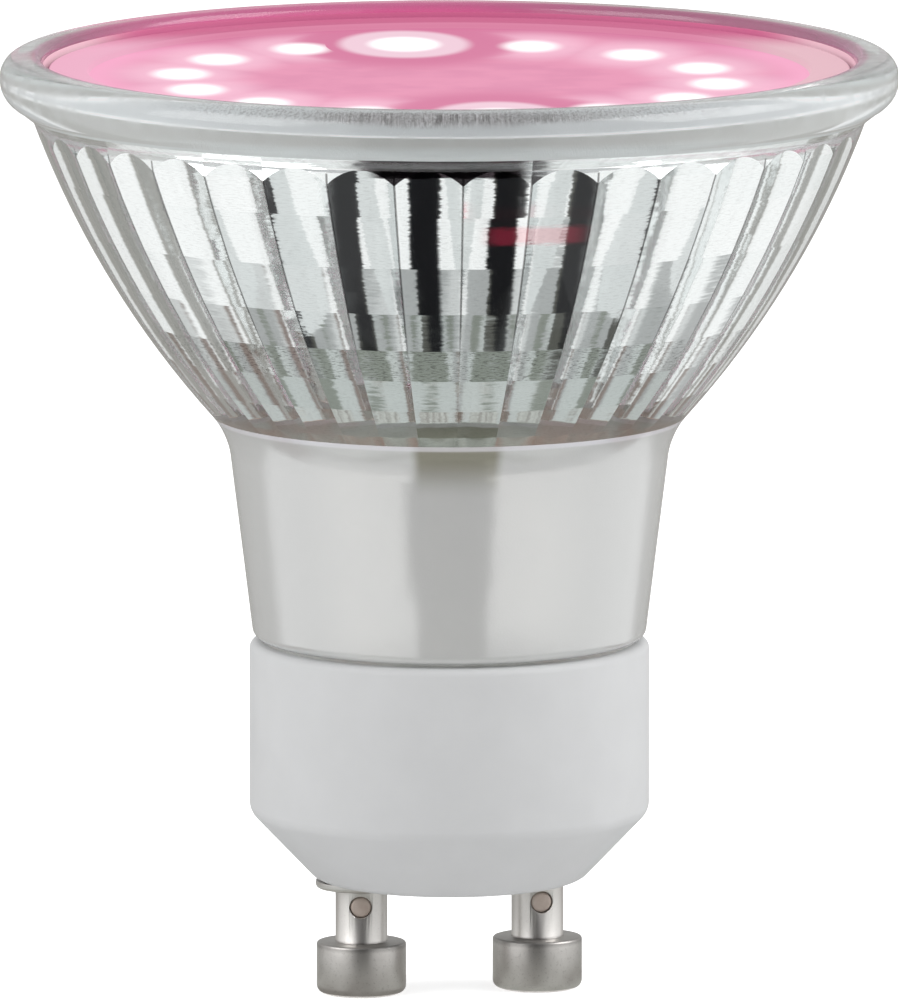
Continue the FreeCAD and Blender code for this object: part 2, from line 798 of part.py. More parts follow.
def make_capacitor(name, radius, length, x, place):
    """A round capacitor with a crimped groove, standing off the board on two legs."""
    body = new_body(name + "_can")
    groove = cap_leg_radius
    groove_z = radius / 2
    turned(body, name + "_turning", [
        (0, 0),
        (radius - groove, 0),
        (radius, groove),
        (radius, groove_z),
        (radius - groove / 2, groove_z + groove),
        (radius, groove_z + groove * 2),
        (radius, length - groove),
        (radius - groove, length),
        (0, length),
    ])
    y = board_front_y + part_lift + radius
    bind(body, "Placement.Base.x", x)
    bind(body, "Placement.Base.y", y)
    bind(body, "Placement.Base.z", on_front(place))
    legs = []
    for i, side in enumerate((-1, 1)):
        leg_x = as_size(x) + radius / 2 * side - cap_leg_radius
        legs.append(block(
            name + "_leg_" + str(i + 1),
            (cap_leg_radius * 2, part_lift + radius, cap_leg_radius * 2),
            (leg_x, board_front_y, on_front(place) - cap_leg_radius * 2)))
    return joined(name, [body] + legs)


def make_coil():
    """A drum core with its winding, standing off the board on the core's foot."""
    core = new_body("coil_drum")
    upper = coil_length - coil_flange
    turned(core, "drum_turning", [
        (0, 0),
        (coil_radius, 0),
        (coil_radius, coil_flange),
        (coil_hub_radius, coil_flange),
        (coil_hub_radius, upper),
        (coil_radius, upper),
        (coil_radius, coil_length),
        (0, coil_length),
    ])
    y = board_front_y + part_lift + coil_radius
    bind(core, "Placement.Base.x", small_part_offset)
    bind(core, "Placement.Base.y", y)
    bind(core, "Placement.Base.z", on_front(coil_place))
    foot = block("coil_foot", (coil_radius, part_lift + coil_radius, coil_flange / 2),
                 (small_part_offset - coil_radius / 2, board_front_y,
                  on_front(coil_place) - coil_flange / 2))
    joined("coil_core", [core, foot])
    winding = new_body("coil_winding")
    turned(winding, "winding_turning", [
        (coil_hub_radius, coil_flange),
        (coil_winding_radius, coil_flange),
        (coil_winding_radius, upper),
        (coil_hub_radius, upper),
    ])
    bind(winding, "Placement.Base.x", small_part_offset)
    bind(winding, "Placement.Base.y", y)
    bind(winding, "Placement.Base.z", on_front(coil_place))


def make_axial(name, side):
    """A dumb-bell shaped part with a wire leg from each end to the board's back."""
    body = new_body(name + "_shell")
    neck = axial_cap + (axial_radius - axial_waist)
    turned(body, name + "_turning", [
        (0, 0),
        (axial_radius - axial_waist / 4, 0),
        (axial_radius, axial_waist / 4),
        (axial_radius, axial_cap),
        (axial_waist, neck),
        (axial_waist, axial_length - neck),
        (axial_radius, axial_length - axial_cap),
        (axial_radius, axial_length - axial_waist / 4),
        (axial_radius - axial_waist / 4, axial_length),
        (0, axial_length),
    ])
    x = axial_offset * side
    y = board_back_y - axial_lift - axial_radius
    bind(body, "Placement.Base.x", x)
    bind(body, "Placement.Base.y", y)
    bind(body, "Placement.Base.z", on_front(axial_place))
    pieces = [body]
    thick = axial_leg_radius * 2
    for end_name, z in (("lower", on_front(axial_place) - thick),
                        ("upper", on_front(axial_place) + axial_length)):
        pieces.append(block(
            name + "_" + end_name + "_leg",
            (thick, axial_lift + axial_radius + axial_leg_radius, thick),
            (x - axial_leg_radius, y - axial_leg_radius, z)))
    return joined(name, pieces)


def make_film_capacitor():
    return block("film_capacitor", (film_cap_width, film_cap_depth, film_cap_height),
                 (-(film_cap_width / 2), board_back_y - film_cap_depth,
                  on_front(film_cap_place)))


def surface_part(name, width, depth, height, x, place, legs_per_side, pitch):
    """A flat part on the board's back with bent legs at its left and right."""
    case = block(name + "_case", (width, depth, height),
                 (x - width / 2, board_back_y - depth, on_front(place)))
    pieces = [case]
    first = height / 2 - pitch * (legs_per_side - 1) / 2 - chip_leg_width / 2
    for i in range(legs_per_side):
        pieces.append(block(
            name + "_leg_" + str(i + 1),
            (width + chip_leg_reach * 2, chip_leg_height, chip_leg_width),
            (x - width / 2 - chip_leg_reach, board_back_y - chip_leg_height,
             on_front(place) + first + pitch * i)))
    return joined(name, pieces)


def make_resistor(index):
    """A flat resistor on the board's back."""
    x = resistor_offset - resistor_width / 2
    return block("flat_resistor_" + str(index + 1),
                 (resistor_width, resistor_height, resistor_length),
                 (x, board_back_y - resistor_height,
                  on_front(side_part_place + resistor_pitch * index)))


def bent_tube(name, points, bend, radius):
    """A round wire along straight runs joined by arcs, checked against its length."""
    edges = []
    start = points[0]
    for before, corner, after in zip(points, points[1:], points[2:]):
        inward = (before - corner).normalize()
        outward = (after - corner).normalize()
        half = inward.getAngle(outward) / 2
        reach = bend / math.tan(half)
        first = corner + inward * reach
        last = corner + outward * reach
        middle_way = (inward + outward).normalize()
        centre = corner + middle_way * (bend / math.sin(half))
        middle = centre - middle_way * bend
        edges.append(Part.LineSegment(start, first).toShape())
        edges.append(Part.Arc(first, middle, last).toShape())
        start = last
    edges.append(Part.LineSegment(start, points[-1]).toShape())
    path = Part.Wire(edges)
    length = sum(edge.Length for edge in edges)
    way = (points[1] - points[0]).normalize()
    section = Part.Wire([Part.Circle(points[0], way, radius).toShape()])
    solid = path.makePipeShell([section], True, False)
    if abs(solid.Volume / (math.pi * radius**2 * length) - 1) > 0.01:
        raise RuntimeError(name + " has the wrong volume")
    item = doc.addObject("Part::Feature", name)
    item.Shape = solid
    item.Placement = FreeCAD.Placement()
    return item


def make_lamp_wire(name, side):
    """An insulated wire from the driver board up to its pad on the light board."""
    board_top = board_foot_z.number + board_height.number
    top = plate_top_z.number + light_board_thickness.number
    x = lamp_wire_offset.number * side
    y = board_front_y.number + lamp_wire_radius.number
    high = top + lamp_wire_rise.number
    out = x + lamp_pad_reach.number * side
    points = [
        FreeCAD.Vector(x, y, board_top - lamp_wire_overlap.number),
        FreeCAD.Vector(x, y, high),
        FreeCAD.Vector(out, y, high),
        FreeCAD.Vector(out, y, top),
    ]
    bend = min(lamp_wire_bend.number, lamp_wire_rise.number - lamp_wire_drop.number)
    return bent_tube(name, points, bend, lamp_wire_radius.number)


def make_mains_wire(name, side):
    """The bare wire that runs from a pin's bore up to the driver board."""
    top_z = board_foot_z + mains_wire_overlap
    return rod(name, mains_wire_radius, top_z - mains_wire_end,
               (pin_pitch / 2 * side, 0, mains_wire_end))


doc.recompute()
make_pin("pin_left", -1, left_pin_turn)
make_pin("pin_right", 1, as_size(0))
make_base_cap()
make_cement()
make_glass()
make_cover()
make_seal()
make_spreader()
make_light_board()
for number in range(int(led_count.number)):
    make_led(number)
make_housing()
block("driver_board", (board_width, board_thickness, board_height),
      (-(board_width / 2), board_back_y, board_foot_z))
make_capacitor("input_capacitor", input_cap_radius, input_cap_length, 0, input_cap_place)
make_capacitor("output_capacitor", output_cap_radius, output_cap_length,
               -small_part_offset, output_cap_place)
make_coil()
make_axial("fusible_resistor", -1)
make_axial("filter_choke", 1)
make_film_capacitor()
surface_part("bridge_rectifier", bridge_length, bridge_height, bridge_width,
             as_size(0), bridge_place, 2, bridge_width / 2)
surface_part("driver_chip", chip_width, chip_height, chip_length,
             as_size(0), chip_place, 4, chip_leg_pitch)
block("freewheel_diode", (diode_width, diode_height, diode_length),
      (-diode_offset - diode_width / 2, board_back_y - diode_height, on_front(side_part_place)))
make_resistor(0)
make_resistor(1)
make_lamp_wire("lamp_wire_plus", 1)
make_lamp_wire("lamp_wire_minus", -1)
make_mains_wire("mains_wire_left", -1)
make_mains_wire("mains_wire_right", 1)
doc.recompute()

nodes = [
    "glass_reflector", "front_cover", "cover_seal", "light_board", "heat_spreader",
    "driver_housing", "driver_board", "input_capacitor", "output_capacitor", "coil_core",
    "coil_winding", "fusible_resistor", "filter_choke", "film_capacitor",
    "bridge_rectifier", "driver_chip", "freewheel_diode", "flat_resistor_1",
    "flat_resistor_2", "lamp_wire_plus", "lamp_wire_minus", "mains_wire_left",
    "mains_wire_right", "base_cap", "base_cement", "pin_left", "pin_right",
] + ["led_" + str(i + 1) for i in range(int(led_count.number))]

for item in doc.Objects:
    if "Invalid" in item.State or "Error" in item.State:
        raise RuntimeError(item.Label + " failed: " + str(item.State))

os.makedirs("parts", exist_ok=True)
for name in nodes:
    piece = doc.getObjectsByLabel(name)[0]
    shape = piece.Shape
    if shape.isNull() or not shape.isValid() or not shape.Solids:
        raise RuntimeError(name + " is not a sound solid")
    shape.exportStep(os.path.join("parts", name + ".step"))
    print(name, len(shape.Solids), "solid", round(shape.Volume, 3), "mm3")
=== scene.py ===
# %% [markdown]
# # A grow light bulb
# The lamp is a twist-lock reflector lamp: two steel pins, a white moulded base, a glass
# body pressed in one piece and mirrored inside, and a pink diffusing cover sunk in the rim.
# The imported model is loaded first. It gives every piece its true place, in metres.

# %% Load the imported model
import json
import math

import bmesh
import bpy
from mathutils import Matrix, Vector


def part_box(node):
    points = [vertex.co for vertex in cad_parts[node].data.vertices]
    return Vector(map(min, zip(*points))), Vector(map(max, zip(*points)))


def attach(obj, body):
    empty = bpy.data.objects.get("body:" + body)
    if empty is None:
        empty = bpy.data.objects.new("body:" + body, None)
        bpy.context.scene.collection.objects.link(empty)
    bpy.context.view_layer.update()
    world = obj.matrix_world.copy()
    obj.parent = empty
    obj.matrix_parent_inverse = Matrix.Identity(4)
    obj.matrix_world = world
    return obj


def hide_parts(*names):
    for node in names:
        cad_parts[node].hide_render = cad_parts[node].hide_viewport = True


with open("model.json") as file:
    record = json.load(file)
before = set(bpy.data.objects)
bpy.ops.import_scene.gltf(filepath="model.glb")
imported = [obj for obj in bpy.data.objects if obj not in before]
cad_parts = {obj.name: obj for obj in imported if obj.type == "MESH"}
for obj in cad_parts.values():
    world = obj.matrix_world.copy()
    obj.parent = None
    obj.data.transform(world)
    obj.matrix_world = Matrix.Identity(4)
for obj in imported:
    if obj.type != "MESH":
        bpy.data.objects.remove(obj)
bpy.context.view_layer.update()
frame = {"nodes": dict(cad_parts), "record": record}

nodes = frame["nodes"]
print("pieces in the frame:", len(nodes))

# %% [markdown]
# Sizes are written in millimetres, as on a maker's drawing, and turned to metres where a mesh
# is made. The outer sizes could be written out too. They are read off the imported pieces
# instead, because a new piece then keeps the size and place of the one that it stands for.

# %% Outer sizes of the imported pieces
MM = 0.001


def outer_sizes(node):
    """Foot, top and radius, in millimetres, of a round node about the lamp's axis."""
    low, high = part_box(node)
    return round(low[2] / MM, 2), round(high[2] / MM, 2), round(high[0] / MM, 2)


GLASS_FOOT, RIM_TOP, RIM_RADIUS = outer_sizes("glass_reflector")
COVER_FOOT, COVER_TOP, COVER_RADIUS = outer_sizes("front_cover")
BASE_FOOT, COLLAR_TOP, BASE_RADIUS = outer_sizes("base_cap")
LEDGE, SEAL_TOP = outer_sizes("cover_seal")[:2]
SHOULDER = outer_sizes("base_cement")[0]
BASE_FLOOR = outer_sizes("driver_housing")[0]
PIN_TOP = outer_sizes("pin_left")[1]
print("rim", RIM_RADIUS, RIM_TOP, "cover", COVER_RADIUS, COVER_TOP, "base", BASE_RADIUS)

# %% [markdown]
# Round pieces are made the way a lathe would make them: a circle is added, its edge ring is
# extruded, moved along the axis and scaled to the next radius. The Screw modifier could turn a
# whole profile at once. Ring by ring shows which ring belongs to which feature, and a single
# ring can be bevelled later.

# %% Rings for turned pieces
def start_ring(name, radius, height, sides, turn=0.0):
    """Adds a circle about the lamp's axis, sizes in millimetres, and opens it in edit mode."""
    bpy.ops.object.select_all(action="DESELECT")
    bpy.ops.mesh.primitive_circle_add(
        vertices=sides, radius=radius * MM, location=(0, 0, height * MM),
        rotation=(0, 0, turn))
    piece = bpy.context.object
    piece.name = name
    piece.data.name = name
    bpy.ops.object.transform_apply(location=True, rotation=True, scale=True)
    bpy.ops.object.mode_set(mode="EDIT")
    bpy.ops.mesh.select_mode(type="EDGE")
    bpy.ops.mesh.select_all(action="SELECT")
    return piece


def next_ring(before, after):
    """Extrudes the selected ring from one (radius, height) to the next."""
    rise = (after[1] - before[1]) * MM
    bpy.ops.mesh.extrude_edges_move(TRANSFORM_OT_translate={"value": (0, 0, rise)})
    scale = after[0] / before[0]
    bpy.ops.transform.resize(value=(scale, scale, 1), center_override=(0, 0, after[1] * MM))


def turn_piece(name, profile, sides, turn=0.0):
    """Grows a piece ring by ring along its profile and leaves it in edit mode."""
    piece = start_ring(name, *profile[0], sides, turn)
    for before, after in zip(profile, profile[1:]):
        next_ring(before, after)
    return piece


# %% [markdown]
# A ring is picked again by its radius and height, which is what the eye does in the side view.
# A bevel with a few segments makes its rounding, and a face closes an end.

# %% Pick, close and round a ring
def select_edges(piece, wanted):
    """Selects the edges whose two ends both pass the test, given as (radius, height) in mm."""
    bpy.ops.mesh.select_all(action="DESELECT")
    mesh = bmesh.from_edit_mesh(piece.data)
    for edge in mesh.edges:
        ends = [(math.hypot(v.co.x, v.co.y) / MM, v.co.z / MM) for v in edge.verts]
        if all(wanted(*end) for end in ends):
            edge.select_set(True)
    bmesh.update_edit_mesh(piece.data)


def ring_at(radius, height, slack=0.02):
    """A test for one ring."""
    return lambda r, z: abs(r - radius) < slack and abs(z - height) < slack


def cap_ring(piece, radius, height):
    """Closes an open ring with a face."""
    select_edges(piece, ring_at(radius, height))
    bpy.ops.mesh.edge_face_add()


def round_ring(piece, radius, height, width, steps):
    """Bevels one ring into a rounding."""
    select_edges(piece, ring_at(radius, height))
    bpy.ops.mesh.bevel(offset=width * MM, segments=steps, affect="EDGES")


# %% [markdown]
# A finished piece has no double points, its faces point outwards and it is shaded smooth but
# for its true edges. Smoothing everything would blur the corners of a turned part, so the
# angle between two faces decides. Curved corners of a profile are given as arcs.

# %% Finish a piece, and points of an arc
def finish_piece(piece, sharp_angle=30.0):
    """Points the faces outwards, leaves edit mode and smooths all but the true edges."""
    bpy.ops.mesh.select_all(action="SELECT")
    bpy.ops.mesh.remove_doubles(threshold=1e-7)
    bpy.ops.mesh.normals_make_consistent(inside=False)
    bpy.ops.object.mode_set(mode="OBJECT")
    bpy.ops.object.shade_smooth_by_angle(angle=math.radians(sharp_angle),
                                         keep_sharp_edges=True)
    print(piece.name, len(piece.data.polygons), "faces")


def arc(centre, radius, first, last, steps):
    """Points of an arc as (radius, height), angles in degrees from the outward direction."""
    points = []
    for i in range(steps + 1):
        angle = math.radians(first + (last - first) * i / steps)
        points.append((centre[0] + radius * math.cos(angle),
                       centre[1] + radius * math.sin(angle)))
    return points


# %% [markdown]
# ## The pressed glass
# The outside follows four curves: the nearly straight neck, the hollow where it opens out, the
# long convex bowl and the thick rounded rim. The bowl could be a spline drawn by eye. It is one
# arc through two points here, because the inside then follows it at the wall's thickness.

# %% Sizes of the glass
GLASS_END = (10.93, GLASS_FOOT)
NECK_BULGE = ((11.5, 24.6), (12.05, 29.0))
NECK_TOP = (12.37, 31.60)
BOWL_TOP = (23.22, 49.25)
BOWL_ARC = 52.0
BOWL_STEPS = 19
RIM_FLARE = (24.15, 49.97)
RIM_BAND = (RIM_RADIUS, 51.17)
RIM_SWELL = 1.5
RIM_OUTER_ROUND = 1.1
RIM_INNER_ROUND = 0.5
SEAT_RADIUS = 22.6
THROAT = 21.2
WALL = 1.6
TURN = math.radians(10.5)   # how far the lamp is turned from the camera


def arc_centre(start, end, radius):
    """Centre of the arc from one point to a higher one, on the side of the axis."""
    chord = Vector((end[0] - start[0], end[1] - start[1]))
    inward = Vector((-chord.y, chord.x)).normalized()
    return (Vector(start) + Vector(end)) / 2 \
        + inward * math.sqrt(radius ** 2 - chord.length ** 2 / 4)


def bowl_radius(height, inset=0.0):
    """Radius of the bowl's curve at a height, moved in by a wall."""
    return bowl_centre.x + math.sqrt((BOWL_ARC - inset) ** 2 - (height - bowl_centre.y) ** 2)


bowl_centre = arc_centre(NECK_TOP, BOWL_TOP, BOWL_ARC)
print("centre of the bowl's curve", [round(c, 2) for c in bowl_centre])

# %% [markdown]
# The flutes need a circle with twelve steps to each of them, so the outside is turned on the
# same circle. Both sides of the wall are then one closed skin with no seam to stitch.

# %% Outside of the glass, from the neck's end to the ledge of the cover
FLUTES = 36
FLUTE_PHASE = 1.5
STEPS_PER_FLUTE = 12

sides = FLUTES * STEPS_PER_FLUTE
outside = [GLASS_END, *NECK_BULGE, NECK_TOP]
for i in range(1, BOWL_STEPS + 1):
    z = NECK_TOP[1] + (BOWL_TOP[1] - NECK_TOP[1]) * i / BOWL_STEPS
    outside.append((bowl_radius(z), z))
outside.append(RIM_FLARE)
rim_centre = arc_centre(RIM_FLARE, RIM_BAND, RIM_SWELL)
first, last = (math.degrees(math.atan2(end[1] - rim_centre.y, end[0] - rim_centre.x))
               for end in (RIM_FLARE, RIM_BAND))
outside += arc(rim_centre, RIM_SWELL, first, last, 6)[1:]
outside += arc((RIM_RADIUS - RIM_OUTER_ROUND, RIM_TOP - RIM_OUTER_ROUND),
               RIM_OUTER_ROUND, 0, 90, 10)
outside += arc((SEAT_RADIUS + RIM_INNER_ROUND, RIM_TOP - RIM_INNER_ROUND),
               -RIM_INNER_ROUND, -90, 0, 6)
outside += [(SEAT_RADIUS, LEDGE), (THROAT, LEDGE)]
glass = turn_piece("pressed_glass", outside, sides, math.radians(FLUTE_PHASE))
print("rings on the outside:", len(outside))

# %% [markdown]
# ## The flutes
# Inside, the glass is fluted: thirty-six troughs run from the plain band under the rim down to
# the neck, each broken into rows of facets. One flute could be modelled and copied round, but
# its sides would have to be merged. Here one ring carries the whole pattern. Its vertices
# come in groups of twelve, and each column of a group is pulled towards the axis by its own
# amount. Every later ring is extruded from that one and only scaled, so the troughs get
# narrower towards the neck by themselves.

# %% Pick and pull the columns of a ring
def ring_vertices(piece):
    """Numbers of the selected vertices."""
    mesh = bmesh.from_edit_mesh(piece.data)
    return [v.index for v in mesh.verts if v.select]


def select_column(piece, ring, column):
    """Selects the ring's vertices that stand a given number of steps from a groove."""
    mesh = bmesh.from_edit_mesh(piece.data)
    mesh.verts.ensure_lookup_table()
    step = 2 * math.pi / sides
    bpy.ops.mesh.select_all(action="DESELECT")
    for index in ring:
        vertex = mesh.verts[index]
        turn = math.atan2(vertex.co.y, vertex.co.x) - math.radians(FLUTE_PHASE)
        place = round(turn / step) % STEPS_PER_FLUTE
        if place in (column, (STEPS_PER_FLUTE - column) % STEPS_PER_FLUTE):
            vertex.select_set(True)
    mesh.select_flush(True)
    bmesh.update_edit_mesh(piece.data)


def select_ring(piece, ring):
    """Selects the ring's own vertices and edges again."""
    mesh = bmesh.from_edit_mesh(piece.data)
    mesh.verts.ensure_lookup_table()
    bpy.ops.mesh.select_all(action="DESELECT")
    inside = set(ring)
    for index in ring:
        mesh.verts[index].select_set(True)
    for edge in mesh.edges:
        if edge.verts[0].index in inside and edge.verts[1].index in inside:
            edge.select_set(True)
    bmesh.update_edit_mesh(piece.data)


def pull_columns(piece, amounts, height):
    """Scales each column of the selected ring about the axis by its own amount."""
    ring = ring_vertices(piece)
    for column in range(1, len(amounts)):
        select_column(piece, ring, column)
        bpy.ops.transform.resize(value=(amounts[column], amounts[column], 1),
                                 center_override=(0, 0, height * MM))
    select_ring(piece, ring)


# %% [markdown]
# Seen from above, a trough is an arc. The arc's swell is the angle by which it turns off the
# chord at a groove. It gives the radius of each of the seven columns from a groove to the
# middle of a trough. Seven radii could be typed in, but then a flute couldn't be widened.

# %% Radius of each column
FLUTE_SWELL = 18.0


def column_factor(column):
    """Radius of a column over the radius of the grooves: each trough is an arc."""
    half = math.pi / FLUTES
    rise = math.sin(half) * math.tan(math.radians(FLUTE_SWELL) / 2)
    arc_radius = (math.sin(half) ** 2 + rise ** 2) / (2 * rise)
    centre = math.cos(half) - rise + arc_radius
    angle = half - column * 2 * half / STEPS_PER_FLUTE
    across = centre * math.sin(angle)
    return centre * math.cos(angle) - math.sqrt(arc_radius ** 2 - across ** 2)


factors = [column_factor(m) for m in range(STEPS_PER_FLUTE // 2 + 1)]
print("column radii over the groove's:", [round(f, 4) for f in factors])

# %% [markdown]
# Under the ledge comes a plain round band. Where the troughs break into it, its lower edge is
# scalloped. A boolean would cut the same curve and leave ragged triangles, so each column of
# the edge is moved up to the height at which its trough meets the band.

# %% Plain band with its scalloped lower edge
ROW_EDGES = (48.65, 46.63, 43.66, 40.97, 38.79, 36.97, 35.12, 33.51)

slope = (bowl_radius(ROW_EDGES[0], WALL) - bowl_radius(ROW_EDGES[1], WALL)) \
    / (ROW_EDGES[0] - ROW_EDGES[1])
scallops = [ROW_EDGES[0] + (THROAT / f - bowl_radius(ROW_EDGES[0], WALL)) / slope
            for f in factors]
bpy.ops.mesh.select_mode(type="VERT")
next_ring((THROAT, LEDGE), (THROAT, scallops[0]))
ring = ring_vertices(glass)
for m in range(1, len(factors)):
    select_column(glass, ring, m)
    bpy.ops.transform.translate(value=(0, 0, (scallops[m] - scallops[0]) * MM))
select_ring(glass, ring)
print("scallops rise from", round(scallops[0], 2), "to", round(scallops[-1], 2))

# %% [markdown]
# The scalloped ring is extruded and flattened to the first level edge, and its columns are
# pulled in. The rows below are plain extrusions, narrower each time. At the mirror's foot the
# columns are let out again, and a smooth bore runs on to the neck's end.

# %% Rows of facets
MIRROR_FOOT = (11.1, 32.85)
BORE_RADIUS = 9.5

z = ROW_EDGES[1]
radius = bowl_radius(z, WALL)
bpy.ops.mesh.extrude_edges_move(TRANSFORM_OT_translate={"value": (0, 0, -MM)})
bpy.ops.transform.resize(value=(1, 1, 0), center_override=(0, 0, z * MM))
bpy.ops.transform.resize(value=(radius / THROAT, radius / THROAT, 1),
                         center_override=(0, 0, z * MM))
pull_columns(glass, factors, z)
before = (radius, z)
for z in ROW_EDGES[2:]:
    after = (bowl_radius(z, WALL), z)
    next_ring(before, after)
    before = after
next_ring(before, MIRROR_FOOT)
pull_columns(glass, [1 / f for f in factors], MIRROR_FOOT[1])
next_ring(MIRROR_FOOT, (BORE_RADIUS, GLASS_FOOT))
next_ring((BORE_RADIUS, GLASS_FOOT), GLASS_END)
print("rows of facets:", len(ROW_EDGES))

# %% [markdown]
# Only now are the soft corners made: the hollow between neck and bowl and the fire-rounded
# lower edge are one ring each, bevelled. The edges of the facets stay crisp, so they are
# marked sharp.

# %% Roundings and sharp facet edges
NECK_HOLLOW = 1.3
END_ROUND = 0.55

bpy.ops.mesh.select_mode(type="EDGE")
bpy.ops.mesh.select_all(action="SELECT")
bpy.ops.mesh.remove_doubles(threshold=1e-7)
bpy.ops.mesh.normals_make_consistent(inside=False)
round_ring(glass, *NECK_TOP, width=NECK_HOLLOW, steps=8)
round_ring(glass, *GLASS_END, width=END_ROUND, steps=5)
for z in ROW_EDGES[1:] + (MIRROR_FOOT[1],):
    select_edges(glass, lambda r, h: abs(h - z) < 0.004 and r < bowl_radius(z, WALL) + 0.05)
    bpy.ops.mesh.mark_sharp()
low, high = scallops[0] - 0.01, scallops[-1] + 0.01
select_edges(glass, lambda r, h: low < h < high and abs(r - THROAT) < 0.01)
bpy.ops.mesh.mark_sharp()
finish_piece(glass, 20.0)

# %% [markdown]
# ## The cover
# The cover is a thin diffusing disc with a low raised ring round it and a short skirt below
# that centres it in the glass. It sits on a bead of silicone, a little below the rim. It could
# be a disc with a torus on it. Real moulded covers have no such seam, so it is one turned
# profile, closed by a face above and one below.

# %% Front cover
SKIRT_INSIDE, SKIRT_OUTSIDE = 20.15, 20.9
RAISED_INSIDE = 20.1
RAISED_HEIGHT = 0.4

disc_top = COVER_TOP - RAISED_HEIGHT
cover_profile = [(SKIRT_INSIDE, SEAL_TOP), (SKIRT_INSIDE, COVER_FOOT),
                 (SKIRT_OUTSIDE, COVER_FOOT), (SKIRT_OUTSIDE, SEAL_TOP),
                 (COVER_RADIUS, SEAL_TOP), (COVER_RADIUS, COVER_TOP),
                 (RAISED_INSIDE, COVER_TOP), (RAISED_INSIDE, disc_top)]
cover = turn_piece("diffusing_cover", cover_profile, 180)
cap_ring(cover, SKIRT_INSIDE, SEAL_TOP)
cap_ring(cover, RAISED_INSIDE, disc_top)
round_ring(cover, COVER_RADIUS, COVER_TOP, width=0.2, steps=4)
round_ring(cover, RAISED_INSIDE, COVER_TOP, width=0.2, steps=4)
round_ring(cover, RAISED_INSIDE, disc_top, width=0.15, steps=3)
finish_piece(cover)

# %% [markdown]
# ## The base
# The base is one moulding. Its flank slopes in to the end face, its shoulder carries the
# glass, and a thin collar reaches up inside the neck. It is turned like the cover. The two
# holes for the pins stand off the axis, so they can't be turned and are cut with a boolean.

# %% Moulded base
END_FACE_RADIUS = 7.42
FLANK_TOP = 10.27
COLLAR_INSIDE, COLLAR_OUTSIDE = 8.2, 9.35
PIN_PLACE = 5.0
PIN_HOLE = 1.46
HOLE_MIDDLE = 7.5
DRILL_LENGTH = 4.0

base_profile = [(END_FACE_RADIUS, BASE_FOOT), (BASE_RADIUS, FLANK_TOP),
                (BASE_RADIUS, SHOULDER), (COLLAR_OUTSIDE, SHOULDER),
                (COLLAR_OUTSIDE, COLLAR_TOP), (COLLAR_INSIDE, COLLAR_TOP),
                (COLLAR_INSIDE, BASE_FLOOR)]
base = turn_piece("moulded_base", base_profile, 192)
cap_ring(base, END_FACE_RADIUS, BASE_FOOT)
cap_ring(base, COLLAR_INSIDE, BASE_FLOOR)
round_ring(base, END_FACE_RADIUS, BASE_FOOT, width=0.5, steps=6)
round_ring(base, BASE_RADIUS, FLANK_TOP, width=0.4, steps=5)
round_ring(base, BASE_RADIUS, SHOULDER, width=0.45, steps=5)
finish_piece(base)


def drill(piece, radius, middle, rotation=(0, 0, 0)):
    """Cuts a round hole with a boolean and removes the cutter."""
    bpy.ops.object.select_all(action="DESELECT")
    bpy.ops.mesh.primitive_cylinder_add(
        vertices=48, radius=radius * MM, depth=DRILL_LENGTH * MM,
        location=[c * MM for c in middle], rotation=rotation)
    cutter = bpy.context.object
    bpy.context.view_layer.objects.active = piece
    cut = piece.modifiers.new("hole", "BOOLEAN")
    cut.operation = "DIFFERENCE"
    cut.solver = "EXACT"
    cut.object = cutter
    bpy.ops.object.modifier_apply(modifier=cut.name)
    bpy.data.objects.remove(cutter)


for side in (-1, 1):
    drill(base, PIN_HOLE, (PIN_PLACE * side, 0, HOLE_MIDDLE))
print("base faces", len(base.data.polygons))

# %% [markdown]
# ## The pins
# Each pin is turned from steel: a wide foot that locks in the socket, a slim shank, a thin
# collar that seats on the base and a head rolled over inside. It could be stacked from
# cylinders. It is one profile instead, which runs up the outside from the foot's rim, over
# the head and down the bore that takes the wire, so the skin is closed, as on the real pin.

# %% Turned pin
FOOT_RADIUS, FOOT_TOP = 2.5, 2.9
SHANK_RADIUS = 1.45
COLLAR_RADIUS, COLLAR_FOOT = 2.55, 5.95
HEAD_RADIUS = 1.9
PIN_BORE, PIN_BORE_END = 0.55, 4.2

pin_profile = [(FOOT_RADIUS, 0.0), (FOOT_RADIUS, FOOT_TOP), (SHANK_RADIUS, FOOT_TOP),
               (SHANK_RADIUS, COLLAR_FOOT), (COLLAR_RADIUS, COLLAR_FOOT),
               (COLLAR_RADIUS, BASE_FOOT), (SHANK_RADIUS, BASE_FOOT),
               (SHANK_RADIUS, BASE_FLOOR), (HEAD_RADIUS, BASE_FLOOR),
               (HEAD_RADIUS, PIN_TOP), (PIN_BORE, PIN_TOP), (PIN_BORE, PIN_BORE_END)]
pin = turn_piece("steel_pin", pin_profile, 96)
cap_ring(pin, FOOT_RADIUS, 0.0)
cap_ring(pin, PIN_BORE, PIN_BORE_END)
round_ring(pin, FOOT_RADIUS, 0.0, width=0.45, steps=6)
round_ring(pin, FOOT_RADIUS, FOOT_TOP, width=0.15, steps=3)
round_ring(pin, SHANK_RADIUS, FOOT_TOP, width=0.08, steps=2)
round_ring(pin, COLLAR_RADIUS, COLLAR_FOOT, width=0.2, steps=4)
finish_piece(pin)

# %% [markdown]
# A round hole goes across the shank, where the wire is crimped and soldered. A boolean cuts
# it, as a turned ring can't. A drilled hole has a soft lip, so the edge that the boolean
# leaves on the shank is picked and bevelled.

# %% Crimp hole
CRIMP_RADIUS = 0.61
CRIMP_HEIGHT = 5.0
CRIMP_LIP = 0.05
ACROSS = (math.pi / 2, 0, 0)


